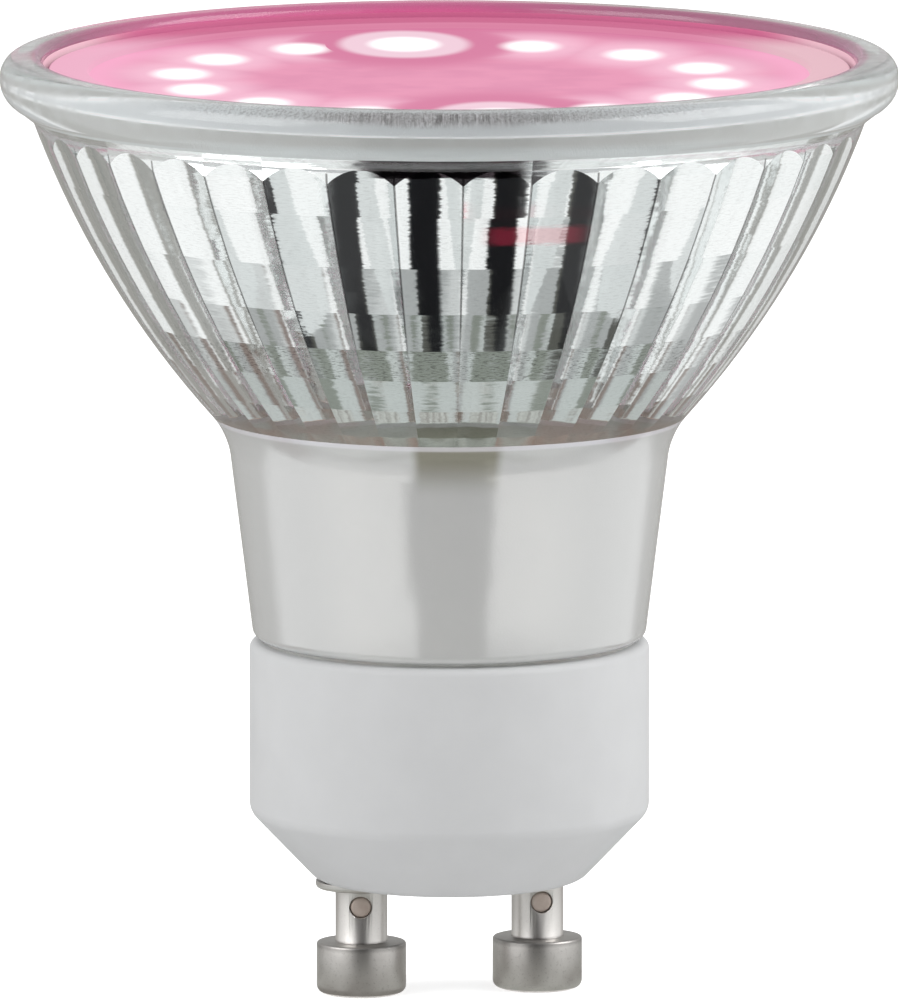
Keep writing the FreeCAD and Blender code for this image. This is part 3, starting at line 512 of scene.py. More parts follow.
def on_crimp_edge(point):
    """Whether a point lies both on the shank's wall and on the wall of the hole."""
    from_axis = math.hypot(point.x, point.y) / MM
    from_hole = math.hypot(point.x, point.z - CRIMP_HEIGHT * MM) / MM
    return abs(from_axis - SHANK_RADIUS) < 0.02 and abs(from_hole - CRIMP_RADIUS) < 0.02


drill(pin, CRIMP_RADIUS, (0, 0, CRIMP_HEIGHT), ACROSS)
bpy.ops.object.mode_set(mode="EDIT")
mesh = bmesh.from_edit_mesh(pin.data)
bpy.ops.mesh.select_all(action="DESELECT")
for edge in mesh.edges:
    if all(on_crimp_edge(v.co) for v in edge.verts):
        edge.select_set(True)
bmesh.update_edit_mesh(pin.data)
bpy.ops.mesh.bevel(offset=CRIMP_LIP * MM, segments=2, affect="EDGES")
bpy.ops.object.mode_set(mode="OBJECT")
bpy.ops.object.shade_smooth_by_angle(angle=math.radians(30))
print("pin faces", len(pin.data.polygons))

# %% [markdown]
# A plug of solder fills the crimp hole. It is a cylinder with soft ends, joined to the pin, so
# that it stays part of it. Its faces come last in the joined mesh and get their own finish.

# %% Plug of solder
PLUG_RADIUS, PLUG_LENGTH = 0.59, 2.7
PLUG_ROUND = 0.22

bpy.ops.mesh.primitive_cylinder_add(
    vertices=48, radius=PLUG_RADIUS * MM, depth=PLUG_LENGTH * MM,
    location=(0, 0, CRIMP_HEIGHT * MM), rotation=ACROSS)
plug = bpy.context.object
bpy.ops.object.transform_apply(location=True, rotation=True, scale=True)
bpy.ops.object.mode_set(mode="EDIT")
bpy.ops.mesh.select_mode(type="EDGE")
bpy.ops.mesh.select_all(action="DESELECT")
mesh = bmesh.from_edit_mesh(plug.data)
for edge in mesh.edges:
    edge.select_set(abs(edge.verts[0].co.y - edge.verts[1].co.y) < 0.1 * MM)
bmesh.update_edit_mesh(plug.data)
bpy.ops.mesh.bevel(offset=PLUG_ROUND * MM, segments=4, affect="EDGES")
bpy.ops.object.mode_set(mode="OBJECT")
bpy.ops.object.shade_smooth_by_angle(angle=math.radians(30))
plug_faces = len(plug.data.polygons)
pin.select_set(True)
bpy.context.view_layer.objects.active = pin
bpy.ops.object.join()
print("plug faces", plug_faces)

# %% [markdown]
# The pin is made once on the axis and copied, and each copy has its own mesh. A linked copy
# would be lighter, but the two aren't quite alike: they are turned differently, as the crimp
# holes don't line up, and the right one has a smaller collar.

# %% Two contact pins
RIGHT_COLLAR = 0.8

pins = {}
for name, side, twist in (("pin_left", -1, -12.0), ("pin_right", 1, 0.0)):
    bpy.ops.object.select_all(action="DESELECT")
    pin.select_set(True)
    bpy.context.view_layer.objects.active = pin
    bpy.ops.object.duplicate()
    made = bpy.context.object
    made.name = "turned_" + name
    if side > 0:
        bpy.ops.object.mode_set(mode="EDIT")
        select_edges(made, lambda r, z: r > 2.2 and 5.9 < z < 6.4)
        bpy.ops.transform.resize(value=(RIGHT_COLLAR, RIGHT_COLLAR, 1),
                                 center_override=(0, 0, 0))
        bpy.ops.object.mode_set(mode="OBJECT")
    made.rotation_euler = (0, 0, math.radians(twist))
    made.location = (PIN_PLACE * side * MM, 0, 0)
    bpy.ops.object.transform_apply(location=True, rotation=True, scale=True)
    pins[name] = made
bpy.data.objects.remove(pin)
print("pins:", list(pins))

# %% [markdown]
# ## Materials
# A finish is a tree of nodes. It could be wired by hand in the editor. Small helpers that add
# a node and give back its output let each finish below read as a recipe.

# %% Shader helpers
def new_material(name, **values):
    """A material, its tree and its shader, with values set on the shader's own sockets."""
    material = bpy.data.materials.new(name)
    material.use_nodes = True
    tree = material.node_tree
    shader = tree.nodes["Principled BSDF"]
    for socket, value in values.items():
        shader.inputs[socket.replace("_", " ")].default_value = value
    return material, tree, shader


def join(tree, source, target):
    """Links an output to an input."""
    tree.links.new(source, target)


def feed(tree, target, value):
    """Gives an input a number, a colour or another node's output."""
    if isinstance(value, (int, float)):
        target.default_value = value
    elif isinstance(value, tuple):
        target.default_value = value + (1,)
    else:
        join(tree, value, target)


def add(tree, kind, **settings):
    """Adds a node. A setting named after an input sets its value, any other the node's own."""
    made = tree.nodes.new("ShaderNode" + kind)
    for key, value in settings.items():
        if hasattr(made, key):
            setattr(made, key, value)
        else:
            made.inputs[key.replace("_", " ")].default_value = value
    return made


# %% [markdown]
# Where a mark lies and how strong it is are sums and products of numbers that differ from
# point to point. A Math node does one step of them. These helpers chain the steps, and another
# one says how large a finish has grown.

# %% Sums and products in nodes
def math_node(tree, operation, *values):
    """A math node whose inputs are numbers or sockets."""
    made = add(tree, "Math", operation=operation)
    for slot, value in enumerate(values):
        feed(tree, made.inputs[slot], value)
    return made.outputs[0]


def times(tree, *factors):
    """A product of numbers or sockets. Patterns multiplied hold only where all of them do."""
    product = factors[0]
    for factor in factors[1:]:
        product = math_node(tree, "MULTIPLY", product, factor)
    return product


def report(material):
    """Says how many nodes a finish has."""
    print(material.name, "has", len(material.node_tree.nodes), "nodes")


# %% [markdown]
# Every pattern below is made of a few moves: a number is eased from 0 to 1 across a band, and
# that number lays one colour over another. Hard steps would look cut out, and real coats,
# stains and shadows fade.

# %% Eases and coats of colour
def ease(tree, value, low, high, out_low=0.0, out_high=1.0):
    """Goes smoothly from one number to another while the value crosses a band."""
    made = add(tree, "MapRange", interpolation_type="SMOOTHSTEP", From_Min=low, From_Max=high,
               To_Min=out_low, To_Max=out_high)
    join(tree, value, made.inputs["Value"])
    return made.outputs["Result"]


def band(tree, value, start, full, fading, end):
    """1 from full to fading, eased to 0 at start and at end."""
    return times(tree, ease(tree, value, start, full), ease(tree, value, end, fading))


def blend(tree, share, below, above):
    """Mixes two colours, each a socket or a tuple."""
    made = add(tree, "Mix", data_type="RGBA")
    feed(tree, made.inputs["Factor"], share)
    feed(tree, made.inputs[6], below)
    feed(tree, made.inputs[7], above)
    return made.outputs[2]


def coats(tree, colour, *layers):
    """Lays colours over each other. Each layer is the share that it covers and its colour."""
    for share, above in layers:
        colour = blend(tree, share, colour, above)
    return colour


# %% [markdown]
# Patterns need to know where they are on the lamp. Object coordinates are right for that: the
# finished pieces sit at the origin, so these are the lamp's own millimetres, the same in every
# view. Some marks sit on the side that the photograph shows, so there are helpers for the
# level directions of its camera, as fixed directions of the lamp.

# %% Places on the lamp
RIGHT, BACK, LEFT, FRONT = (math.radians(angle) - TURN for angle in (0, 90, 180, 270))


def combine(tree, x=0.0, y=0.0, z=0.0):
    """A vector from numbers or sockets."""
    made = add(tree, "CombineXYZ")
    for slot, value in enumerate((x, y, z)):
        feed(tree, made.inputs[slot], value)
    return made.outputs[0]


def place(tree):
    """Object coordinates in millimetres, whole and split into x, y and z."""
    scaled = add(tree, "VectorMath", operation="SCALE", Scale=1000.0)
    join(tree, add(tree, "TexCoord").outputs["Object"], scaled.inputs[0])
    split = add(tree, "SeparateXYZ")
    join(tree, scaled.outputs[0], split.inputs[0])
    return scaled.outputs[0], split.outputs


def along(tree, xyz, direction):
    """How far a place lies in a level direction from the axis."""
    return math_node(tree, "MULTIPLY_ADD", xyz[0], math.cos(direction),
                     times(tree, xyz[1], math.sin(direction)))


def distance(tree, x, y):
    """Distance from two sockets at right angles."""
    return math_node(tree, "SQRT", math_node(tree, "MULTIPLY_ADD", x, x, times(tree, y, y)))


def bearing(tree, xyz):
    """Angle round the axis, 0 at the front, positive towards the right."""
    return math_node(tree, "ARCTAN2", along(tree, xyz, RIGHT), along(tree, xyz, FRONT))


print("right, back, left and front in degrees:",
      [round(math.degrees(d), 1) for d in (RIGHT, BACK, LEFT, FRONT)])

# %% [markdown]
# No real surface is even. Noise gives each colour its variation, and the same kind of noise as
# a bump gives the grain. An image would show its edges and its repeats. Noise has neither, and
# it can be stretched round a turned piece by unrolling the coordinates.

# %% Noise and bump
def noise(tree, vector, scale, detail=2.0, roughness=0.5):
    """Soft random grey between 0 and 1."""
    made = add(tree, "TexNoise", Scale=scale, Detail=detail, Roughness=roughness)
    join(tree, vector, made.inputs["Vector"])
    return made.outputs["Fac"]


def unrolled(tree, turn, height, around, up, shift=0.0):
    """Coordinates round a piece and up it, for a noise that is finer one way."""
    return combine(tree, times(tree, turn, around), shift, times(tree, height, up))


def bump(tree, shader, height, strength, depth):
    """Adds a bump, its depth in millimetres."""
    made = add(tree, "Bump", Strength=strength, Distance=depth * MM)
    join(tree, height, made.inputs["Height"])
    join(tree, made.outputs[0], shader.inputs["Normal"])


# %% [markdown]
# ## Clear glass
# The outer glass is clear with a trace of green. A thin-glass trick with a glossy coat would
# render faster. Real refraction is used instead, because the solid wall acts as a lens and
# makes the mirror behind it look larger. Bump stands for the faint waves of pressed glass.

# %% Clear pressed glass
clear_glass, tree, shader = new_material("clear_pressed_glass", Transmission_Weight=1.0,
                                         IOR=1.5, Emission_Strength=1.0)
position, xyz = place(tree)
tint = blend(tree, noise(tree, position, 0.35, 3.0), (0.96, 0.985, 0.975), (0.98, 0.99, 0.985))
bump(tree, shader, noise(tree, position, 0.6, 2.0), 0.25, 0.03)
report(clear_glass)

# %% [markdown]
# The rim's top, next to the cover, carries its pink: all of it far back and on the left, and
# elsewhere a thin line along its inner edge. Light that travels inside a thick rim would take
# very many samples to trace. A pink tint and a weak glow give the same look with no noise.

# %% Pink light in the rim
back = along(tree, xyz, BACK)
left = along(tree, xyz, LEFT)
far_top = times(tree, ease(tree, xyz[2], 51.9, 52.1), ease(tree, back, 11.0, 18.0),
                ease(tree, left, -9.0, -1.0))
inner_edge = times(tree, ease(tree, xyz[2], 52.0, 52.25),
                   ease(tree, distance(tree, xyz[0], xyz[1]), 23.5, 23.1))
tint = blend(tree, math_node(tree, "MAXIMUM", far_top, inner_edge), tint, (0.82, 0.12, 0.36))
caught = times(tree, ease(tree, xyz[2], 51.6, 52.2), ease(tree, back, 6.0, 18.0),
               ease(tree, left, -12.0, 2.0, 0.25, 1.0))
join(tree, blend(tree, caught, (0.0, 0.0, 0.0), (0.22, 0.005, 0.07)),
     shader.inputs["Emission Color"])
report(clear_glass)

# %% [markdown]
# The rim has been handled. Its edge is a little rough in patches, and at the front it is
# frosted with fine dark specks. Both come from noise, one for the roughness, one for colour.

# %% Worn and frosted edge
frost = times(tree, ease(tree, xyz[2], 52.0, 52.3),
              ease(tree, noise(tree, position, 7.0, 3.0, 0.65), 0.46, 0.6),
              ease(tree, back, -18.0, -22.5, 0.1, 0.6))
join(tree, blend(tree, frost, tint, (0.3, 0.29, 0.29)), shader.inputs["Base Color"])
worn = times(tree, ease(tree, xyz[2], 50.2, 51.0),
             ease(tree, noise(tree, position, 0.8, 3.0), 0.35, 0.65, 0.1, 0.24))
join(tree, worn, shader.inputs["Roughness"])
report(clear_glass)

# %% [markdown]
# ## Mirror film
# The mirror is a thin metal film on the fluted side of the glass. No two facets of a pressed
# reflector lie quite alike. The mesh could be jittered, which would open its seams. Here the
# shader finds out which flute and row a point is in and takes three random numbers for that
# facet: two for its lean and one for its shade.

# %% Flutes and facets of the film
mirror, tree, shader = new_material("mirror_film", Metallic=1.0, Roughness=0.07,
                                    Emission_Strength=1.0)
xyz = place(tree)[1]
turn = math_node(tree, "ARCTAN2", xyz[1], xyz[0])
pitch = 2 * math.pi / FLUTES
from_groove = math_node(tree, "SUBTRACT", turn, math.radians(FLUTE_PHASE))
flute = math_node(tree, "FLOOR", math_node(tree, "DIVIDE", from_groove, pitch))
row = 0.0
for z in ROW_EDGES:
    row = math_node(tree, "ADD", math_node(tree, "GREATER_THAN", xyz[2], z), row)
facet = add(tree, "TexWhiteNoise", noise_dimensions="3D")
join(tree, combine(tree, flute, row), facet.inputs["Vector"])
chances = add(tree, "SeparateXYZ")
join(tree, facet.outputs["Color"], chances.inputs[0])
print("facets on the film:", FLUTES * len(ROW_EDGES))

# %% [markdown]
# The steel mould was turned and engraved, so the facets carry very fine lines, which tear the
# reflections into short dashes at their edges. A Bump node would soften such small marks at a
# distance. The film's normal is leaned directly instead: sideways along the flute's width and
# upwards, by the fine lines and by the facet's own two numbers.

# %% Tool marks and the lean of each facet
def swing(tree, fine, coarse, fine_amount, coarse_amount):
    """How far the film's normal leans, from fine tool marks and from the facet itself."""
    marks = math_node(tree, "MULTIPLY_ADD", fine, fine_amount, -fine_amount / 2)
    whole = math_node(tree, "MULTIPLY_ADD", coarse, coarse_amount, -coarse_amount / 2)
    return math_node(tree, "ADD", marks, whole)


side_lines = noise(tree, unrolled(tree, turn, xyz[2], 24.0, 8.0), 1.0, 2.0)
level_lines = noise(tree, unrolled(tree, turn, xyz[2], 12.0, 7.0, 7.0), 1.0, 2.0)
sideways = swing(tree, side_lines, chances.outputs[0], 0.07, 0.05)
upwards = swing(tree, level_lines, chances.outputs[1], 0.06, 0.03)
surface = add(tree, "NewGeometry")
facing = add(tree, "SeparateXYZ")
join(tree, surface.outputs["Normal"], facing.inputs[0])
lean = combine(tree, times(tree, facing.outputs[1], -1.0, sideways),
               times(tree, facing.outputs[0], sideways), upwards)
leaning = add(tree, "VectorMath", operation="ADD")
join(tree, surface.outputs["Normal"], leaning.inputs[0])
join(tree, lean, leaning.inputs[1])
unit = add(tree, "VectorMath", operation="NORMALIZE")
join(tree, leaning.outputs[0], unit.inputs[0])
join(tree, unit.outputs[0], shader.inputs["Normal"])
report(mirror)

# %% [markdown]
# The film is silver, a little paler or darker from facet to facet. In the upper rows a thin
# grey line is painted down each groove, as painted shade of its rounded edge. Short level
# dashes are painted as dark reflections in all rows, most of all in the fifth one from the top.

# %% Silver with its grooves and dashes
silver = blend(tree, chances.outputs[2], (0.93, 0.95, 0.95), (0.98, 0.99, 0.99))
local = math_node(tree, "FLOORED_MODULO", from_groove, pitch)
to_groove = math_node(tree, "MINIMUM", local, math_node(tree, "SUBTRACT", pitch, local))
# painted shade: a thin grey line down each groove of the upper rows
painted_groove_shade = times(tree, ease(tree, times(tree, to_groove, 180 / math.pi), 0.22, 0.1),
               ease(tree, xyz[2], ROW_EDGES[0] + 0.5, ROW_EDGES[0] + 0.4),
               ease(tree, xyz[2], ROW_EDGES[5], ROW_EDGES[3]))
fifth = times(tree, math_node(tree, "GREATER_THAN", xyz[2], ROW_EDGES[5]),
              math_node(tree, "LESS_THAN", xyz[2], ROW_EDGES[4]))
# painted reflections: short dark level dashes, strongest in the fifth row
painted_dash_reflections = times(tree, ease(tree, noise(tree, unrolled(tree, turn, xyz[2], 45.0, 16.0, 3.0),
                                      1.0, 3.0, 0.6), 0.5, 0.62),
               math_node(tree, "MULTIPLY_ADD", fifth, 0.5, 0.12))
report(mirror)

# %% [markdown]
# Two marks are painted on the mirror. A red streak across two flutes is a painted reflection,
# coloured and also made to glow, and under the front of the rim a ragged dark patch is a
# painted dark reflection. Both edges are frayed by the same side lines that the facets have.

# %% Painted red reflection and painted dark patch
from_front = bearing(tree, xyz)
wander = math_node(tree, "MULTIPLY_ADD", side_lines, 0.5, xyz[2])
# painted reflection: a red streak across two flutes, which also glows
painted_red_reflection = times(tree, band(tree, from_front, 0.07, 0.14, 0.33, 0.4),
             band(tree, wander, 45.15, 45.55, 46.1, 46.5))
join(tree, blend(tree, painted_red_reflection, (0.0, 0.0, 0.0), (0.13, 0.008, 0.02)),
     shader.inputs["Emission Color"])
# painted dark reflection: a ragged patch under the front of the rim
ragged = math_node(tree, "MULTIPLY_ADD", side_lines, 0.4, xyz[2])
painted_dark_patch = times(tree, ease(tree, math_node(tree, "ABSOLUTE", from_front), 0.22, 0.17),
             ease(tree, ragged, scallops[-1] - 0.3, scallops[-1] - 0.15),
             ease(tree, xyz[2], 50.3, 50.0))
film = coats(tree, silver,
             (painted_groove_shade, (0.3, 0.3, 0.3)),
             (times(tree, painted_red_reflection, 0.25), (0.55, 0.03, 0.08)),
             (painted_dash_reflections, (0.3, 0.3, 0.29)),
             (painted_dark_patch, (0.05, 0.04, 0.045)))
join(tree, film, shader.inputs["Base Color"])
report(mirror)

# %% [markdown]
# ## Bonded seat
# Where the cover is bonded in, the glass is grey with adhesive. It is seen through the clear
# rim as thin level stripes. One of them is a painted highlight, pale and wavy, and one carries
# painted sparkle at the front. The stripes could be modelled as beads. They have no thickness
# worth a mesh, so they are coats of colour by height, with a slow wave in them. The far side
# shows its inner face in painted pink light from the cover, and the whole seat glows weakly
# with its own colours, as painted light.

# %% Seat of the cover
bonded, tree, shader = new_material("bonded_seat", Roughness=0.5, Emission_Strength=0.4)
position, xyz = place(tree)
turn = math_node(tree, "ARCTAN2", xyz[1], xyz[0])
sparkle = noise(tree, position, 15.0, 2.0, 0.6)
wave = noise(tree, unrolled(tree, turn, xyz[2], 3.0, 6.0), 1.0, 2.0)
height = math_node(tree, "MULTIPLY_ADD", wave, 0.14, math_node(tree, "SUBTRACT", xyz[2], 0.07))
# painted sparkle: light and dark specks, at the front only
painted_sparkle = blend(tree, ease(tree, sparkle, 0.44, 0.58), (0.17, 0.165, 0.165), (0.56, 0.56, 0.57))
aside = math_node(tree, "ABSOLUTE", bearing(tree, xyz))
painted_sparkle = blend(tree, ease(tree, aside, 0.12, 0.5), painted_sparkle, (0.5, 0.52, 0.52))
stripes = coats(tree, (0.5, 0.53, 0.53),
                (ease(tree, height, 50.75, 50.95), (0.4, 0.41, 0.4)),
                # painted highlight: a pale wavy stripe
                (ease(tree, height, 51.12, 51.18), (0.8, 0.82, 0.83)),
                (ease(tree, height, 51.2, 51.26), (0.54, 0.57, 0.58)),
                (ease(tree, height, 51.46, 51.54), painted_sparkle),
                (ease(tree, height, 51.84, 51.92), (0.5, 0.52, 0.52)))
# painted light: the far inner face is pink from the cover's glow
painted_pink_inner_face = blend(tree, ease(tree, along(tree, xyz, BACK), 15.0, 9.0), (0.5, 0.11, 0.23),
                   (0.66, 0.42, 0.48))
seat = blend(tree, add(tree, "NewGeometry").outputs["Backfacing"], painted_pink_inner_face, stripes)
# painted light: the whole seat glows weakly with its own colours
for socket in ("Base Color", "Emission Color"):
    join(tree, seat, shader.inputs[socket])
bump(tree, shader, sparkle, 0.3, 0.05)
report(bonded)

# %% [markdown]
# ## Satin silver
# The neck is coated satin silver. Full metal would turn black wherever the room is dark. The
# coat is part paint, part metal instead: the reflections are there but soft, and they never
# get darker than the paint below them. It is painted darker at the sides, as painted shade, and
# olive and darker at the top of the front, as a painted dark reflection. It ends in a pale line.

# %% Coat of the neck
satin, tree, shader = new_material("satin_silver", Metallic=0.27, Roughness=0.13)
position, xyz = place(tree)
from_front = bearing(tree, xyz)
aside = math_node(tree, "ABSOLUTE", from_front)
# painted dark reflection: an olive band at the top of the front
painted_olive_reflection = times(tree, band(tree, from_front, -0.18, -0.12, 0.19, 0.25),
             ease(tree, xyz[2], 29.4, 31.9))
cloud = blend(tree, noise(tree, position, 0.25, 2.0), (0.63, 0.635, 0.63), (0.68, 0.68, 0.665))
coat = coats(tree, cloud,
             # painted shade: the coat is darker at the sides
             (ease(tree, aside, 0.4, 0.8), (0.59, 0.595, 0.59)),
             (painted_olive_reflection, (0.33, 0.32, 0.26)),
             (ease(tree, xyz[2], 32.2, 32.35, 0.0, 0.6), (0.86, 0.84, 0.9)))
join(tree, coat, shader.inputs["Base Color"])
grain = math_node(tree, "MULTIPLY_ADD", noise(tree, position, 1.2, 3.0), 2.0,
                  noise(tree, position, 9.0, 3.0))
bump(tree, shader, grain, 0.3, 0.015)
report(satin)

# %% [markdown]
# Behind the lowest facets the same paint is seen from inside, lit by what strays through the
# glass. Little real light gets there in a render, so the lining glows with its own colour, as
# painted light: a cloudy grey, with warm brown patches at the sides that are painted
# reflections.

# %% Lining of the neck
lining, tree, shader = new_material("neck_lining", Roughness=0.4, Emission_Strength=0.75)
position, xyz = place(tree)
patch = blend(tree, ease(tree, noise(tree, position, 0.9, 3.0), 0.35, 0.65),
              (0.27, 0.29, 0.26), (0.56, 0.58, 0.55))
aside = math_node(tree, "ABSOLUTE", bearing(tree, xyz))
# painted reflection: warm brown patches at the sides
painted_warm_reflection = times(tree, ease(tree, aside, 0.3, 0.5),
             ease(tree, noise(tree, position, 0.45, 1.0), 0.42, 0.55))
patch = blend(tree, painted_warm_reflection, patch, (0.4, 0.27, 0.23))
for socket in ("Base Color", "Emission Color"):
    join(tree, patch, shader.inputs[socket])
bump(tree, shader, noise(tree, position, 6.0, 2.0), 0.2, 0.02)
report(lining)

# %% [markdown]
# ## Pink diffuser
# The cover glows. Fourteen light packages stand behind it in a ring, and each shows as a soft
# white spot. Lamps behind a translucent cover would do this by themselves, slowly and with
# grain. An emission pattern does it cleanly. The packages lie below the cover, so their
# pattern is moved a little towards the front, where the photograph shows it.

# %% Places on the cover
SPOT_RING = 15.0
SPOTS = 14
SPOT_PHASE = math.radians(87.5)
SPOT_STRETCH = 1.6

pink, tree, shader = new_material("pink_diffuser", Roughness=0.5, Specular_IOR_Level=0.05,
                                  Emission_Strength=1.0)
position, xyz = place(tree)
radius = distance(tree, xyz[0], xyz[1])
right = along(tree, xyz, RIGHT)
nearer = math_node(tree, "MULTIPLY_ADD", right, 0.055, 1.5)
spot = [math_node(tree, "MULTIPLY_ADD", nearer, math.cos(BACK), xyz[0]),
        math_node(tree, "MULTIPLY_ADD", nearer, math.sin(BACK), xyz[1])]


def spot_distance(tree, xy, angle, ring=SPOT_RING):
    """Distance from a package at an angle. The packages all lie the same way."""
    off = [math_node(tree, "SUBTRACT", xy[0],
                     times(tree, math_node(tree, "COSINE", angle), ring)),
           math_node(tree, "SUBTRACT", xy[1],
                     times(tree, math_node(tree, "SINE", angle), ring))]
    return distance(tree, along(tree, off, RIGHT),
                    math_node(tree, "DIVIDE", along(tree, off, BACK), SPOT_STRETCH))


report(pink)


# %% [markdown]
# Fourteen spots could be fourteen copies of the same nodes. The angle is rounded to the
# nearest spot's instead, and only that one and its two neighbours are measured. The two warm
# spots at the front and the back are larger, so the small ones give way to them.

# %% Distance from the light spots
BIG_SPOT_PHASE = SPOT_PHASE + 0.03
FRONT_SPOT_RING = 15.6
NO_SPOT = 4.8

sector = 2 * math.pi / SPOTS
spot_turn = math_node(tree, "SUBTRACT", math_node(tree, "ARCTAN2", spot[1], spot[0]),
                      SPOT_PHASE)
count = math_node(tree, "ROUND", math_node(tree, "DIVIDE", spot_turn, sector))
nearest = math_node(tree, "MULTIPLY_ADD", count, sector, SPOT_PHASE)
small = spot_distance(tree, spot, nearest)
for neighbour in (-sector, sector):
    small = math_node(tree, "MINIMUM", small, spot_distance(
        tree, spot, math_node(tree, "ADD", nearest, neighbour)))
big = math_node(tree, "MINIMUM", spot_distance(tree, spot, BIG_SPOT_PHASE),
                spot_distance(tree, spot, BIG_SPOT_PHASE + math.pi, FRONT_SPOT_RING))
small = math_node(tree, "MAXIMUM", small, ease(tree, big, 4.7, 4.1, 0.0, NO_SPOT))
wide = math_node(tree, "MAXIMUM", small, ease(tree, big, 8.5, 5.0, 0.0, NO_SPOT))
print("one small spot in", round(math.degrees(sector), 1), "degrees")

# %% [markdown]
# The colours are laid from the widest to the narrowest: the field with faint streaks, its
# outer edge, the dark surround and pale halo of the two big spots, and last the white of all
# spots. Layers in this order need no masks to keep them apart. The raised ring is deeper far
# back and paler elsewhere, and what lies below the cover's edge gets hardly any light.

# %% Colours of the lit cover
beside = ease(tree, along(tree, xyz, BACK), 16.0, 8.0)
field = blend(tree, ease(tree, noise(tree, position, 0.3, 2.0), 0.35, 0.65),
              (0.66, 0.245, 0.385), (0.71, 0.275, 0.415))
edge = blend(tree, beside, (0.61, 0.195, 0.33), (0.82, 0.36, 0.53))
pale = blend(tree, ease(tree, right, 13.0, 19.0), (0.75, 0.38, 0.51), (0.69, 0.43, 0.49))
ring_foot = blend(tree, beside, (0.64, 0.215, 0.345), pale)
ring_top = blend(tree, beside, (0.52, 0.125, 0.24), pale)
hidden = math_node(tree, "MAXIMUM", ease(tree, xyz[2], 51.2, 50.7),
                   ease(tree, radius, 22.2, 22.35))
field = coats(tree, field,
              (ease(tree, radius, 17.0, 20.0), edge),
              (ease(tree, big, 8.0, 4.6), (0.6, 0.18, 0.315)),
              (ease(tree, big, 4.1, 3.2), (0.78, 0.55, 0.64)),
              (ease(tree, big, 2.4, 1.5), (1.0, 1.0, 1.0)),
              (ease(tree, wide, 4.8, 1.8, 0.0, 0.5), (0.93, 0.62, 0.74)),
              (ease(tree, small, 2.1, 0.9), (1.0, 0.98, 0.99)),
              (ease(tree, xyz[2], 51.56, 51.6), ring_foot),
              (ease(tree, radius, 20.15, 20.25), ring_top),
              (hidden, (0.12, 0.02, 0.05)))
join(tree, field, shader.inputs["Emission Color"])
join(tree, blend(tree, 0.9, field, (0.01, 0.005, 0.005)), shader.inputs["Base Color"])
bump(tree, shader, noise(tree, position, 3.0, 2.0), 0.1, 0.02)
report(pink)

# %% [markdown]
# ## Moulded white
# The base is a heat-resistant moulding, nearly white and matte, with the faint mottle and
# pin-point texture of a moulded surface. One flat colour would look like paint on a screen. A
# slow noise varies the colour and a fine one is the grain.

# %% White of the base
white, tree, shader = new_material("moulded_white", Roughness=0.55, Specular_IOR_Level=0.35)
position, xyz = place(tree)
mottle = noise(tree, position, 0.4, 3.0)
join(tree, blend(tree, mottle, (0.572, 0.578, 0.583), (0.616, 0.622, 0.628)),
     shader.inputs["Base Color"])
bump(tree, shader, noise(tree, position, 7.0, 3.0), 0.15, 0.02)
report(white)

# %% [markdown]
# ## Turned steel
# The pins are turned and plated steel. Fine lines run round them. An anisotropic shader is
# made for such a surface, but it needs tangents. A noise that is squeezed along the axis gives
# real lines and works from every side. Pits and smudges come from use. The shank is painted
# paler, as painted light thrown up from the white base, and the foot's upper edge is painted
# darker, as painted shade.

# %% Steel of the pins
steel, tree, shader = new_material("turned_steel", Metallic=1.0, Roughness=0.36)
position, xyz = place(tree)
metal = blend(tree, noise(tree, position, 1.1, 3.0), (0.5, 0.48, 0.46), (0.66, 0.64, 0.62))
metal = coats(tree, metal,
              (ease(tree, noise(tree, position, 7.0, 3.0, 0.7), 0.56, 0.66, 0.0, 0.35),
               (0.3, 0.28, 0.27)),
              # painted light: the shank above the foot is paler, lit from the white base
              (times(tree, ease(tree, xyz[2], 2.95, 3.1), 0.5), (0.9, 0.88, 0.85)),
              # painted shade: a dark band round the foot's upper edge
              (times(tree, band(tree, xyz[2], 2.5, 2.8, 2.95, 3.0), 0.55),
               (0.2, 0.19, 0.18)))
join(tree, metal, shader.inputs["Base Color"])
squeezed = combine(tree, times(tree, xyz[0], 0.6), times(tree, xyz[1], 0.6),
                   times(tree, xyz[2], 14.0))
bump(tree, shader, noise(tree, squeezed, 1.0, 3.0), 0.3, 0.012)
report(steel)

# %% [markdown]
# The solder in the crimp holes has gone dull and brownish. It is hardly metallic any more, so
# it gets a low metallic value, a warm grey that varies, and a lumpy bump.

# %% Solder in the crimp holes
solder, tree, shader = new_material("dull_solder", Metallic=0.2, Roughness=0.5)
position, xyz = place(tree)
join(tree, blend(tree, noise(tree, position, 1.5, 3.0), (0.38, 0.3, 0.25), (0.58, 0.51, 0.46)),
     shader.inputs["Base Color"])
bump(tree, shader, noise(tree, position, 4.0, 3.0), 0.4, 0.03)
report(solder)

# %% [markdown]
# ## Pieces inside
# The pieces inside the lamp aren't seen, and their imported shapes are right, so they stay. Each
# still gets a fitting finish in place of the plain one: a base colour that varies a little,
# its own gloss and a fine grain. One function makes them all.

# %% Finishes for the pieces inside
def plain_finish(name, dark, light, roughness, metallic=0.0, scale=1.5, grain=0.1):
    """A finish with a soft variation between two colours and a fine bump."""
    material, tree, shader = new_material(name, Roughness=roughness, Metallic=metallic)
    position, xyz = place(tree)
    join(tree, blend(tree, noise(tree, position, scale, 3.0), dark, light),
         shader.inputs["Base Color"])
    bump(tree, shader, noise(tree, position, scale * 6, 2.0), grain, 0.02)
    return material


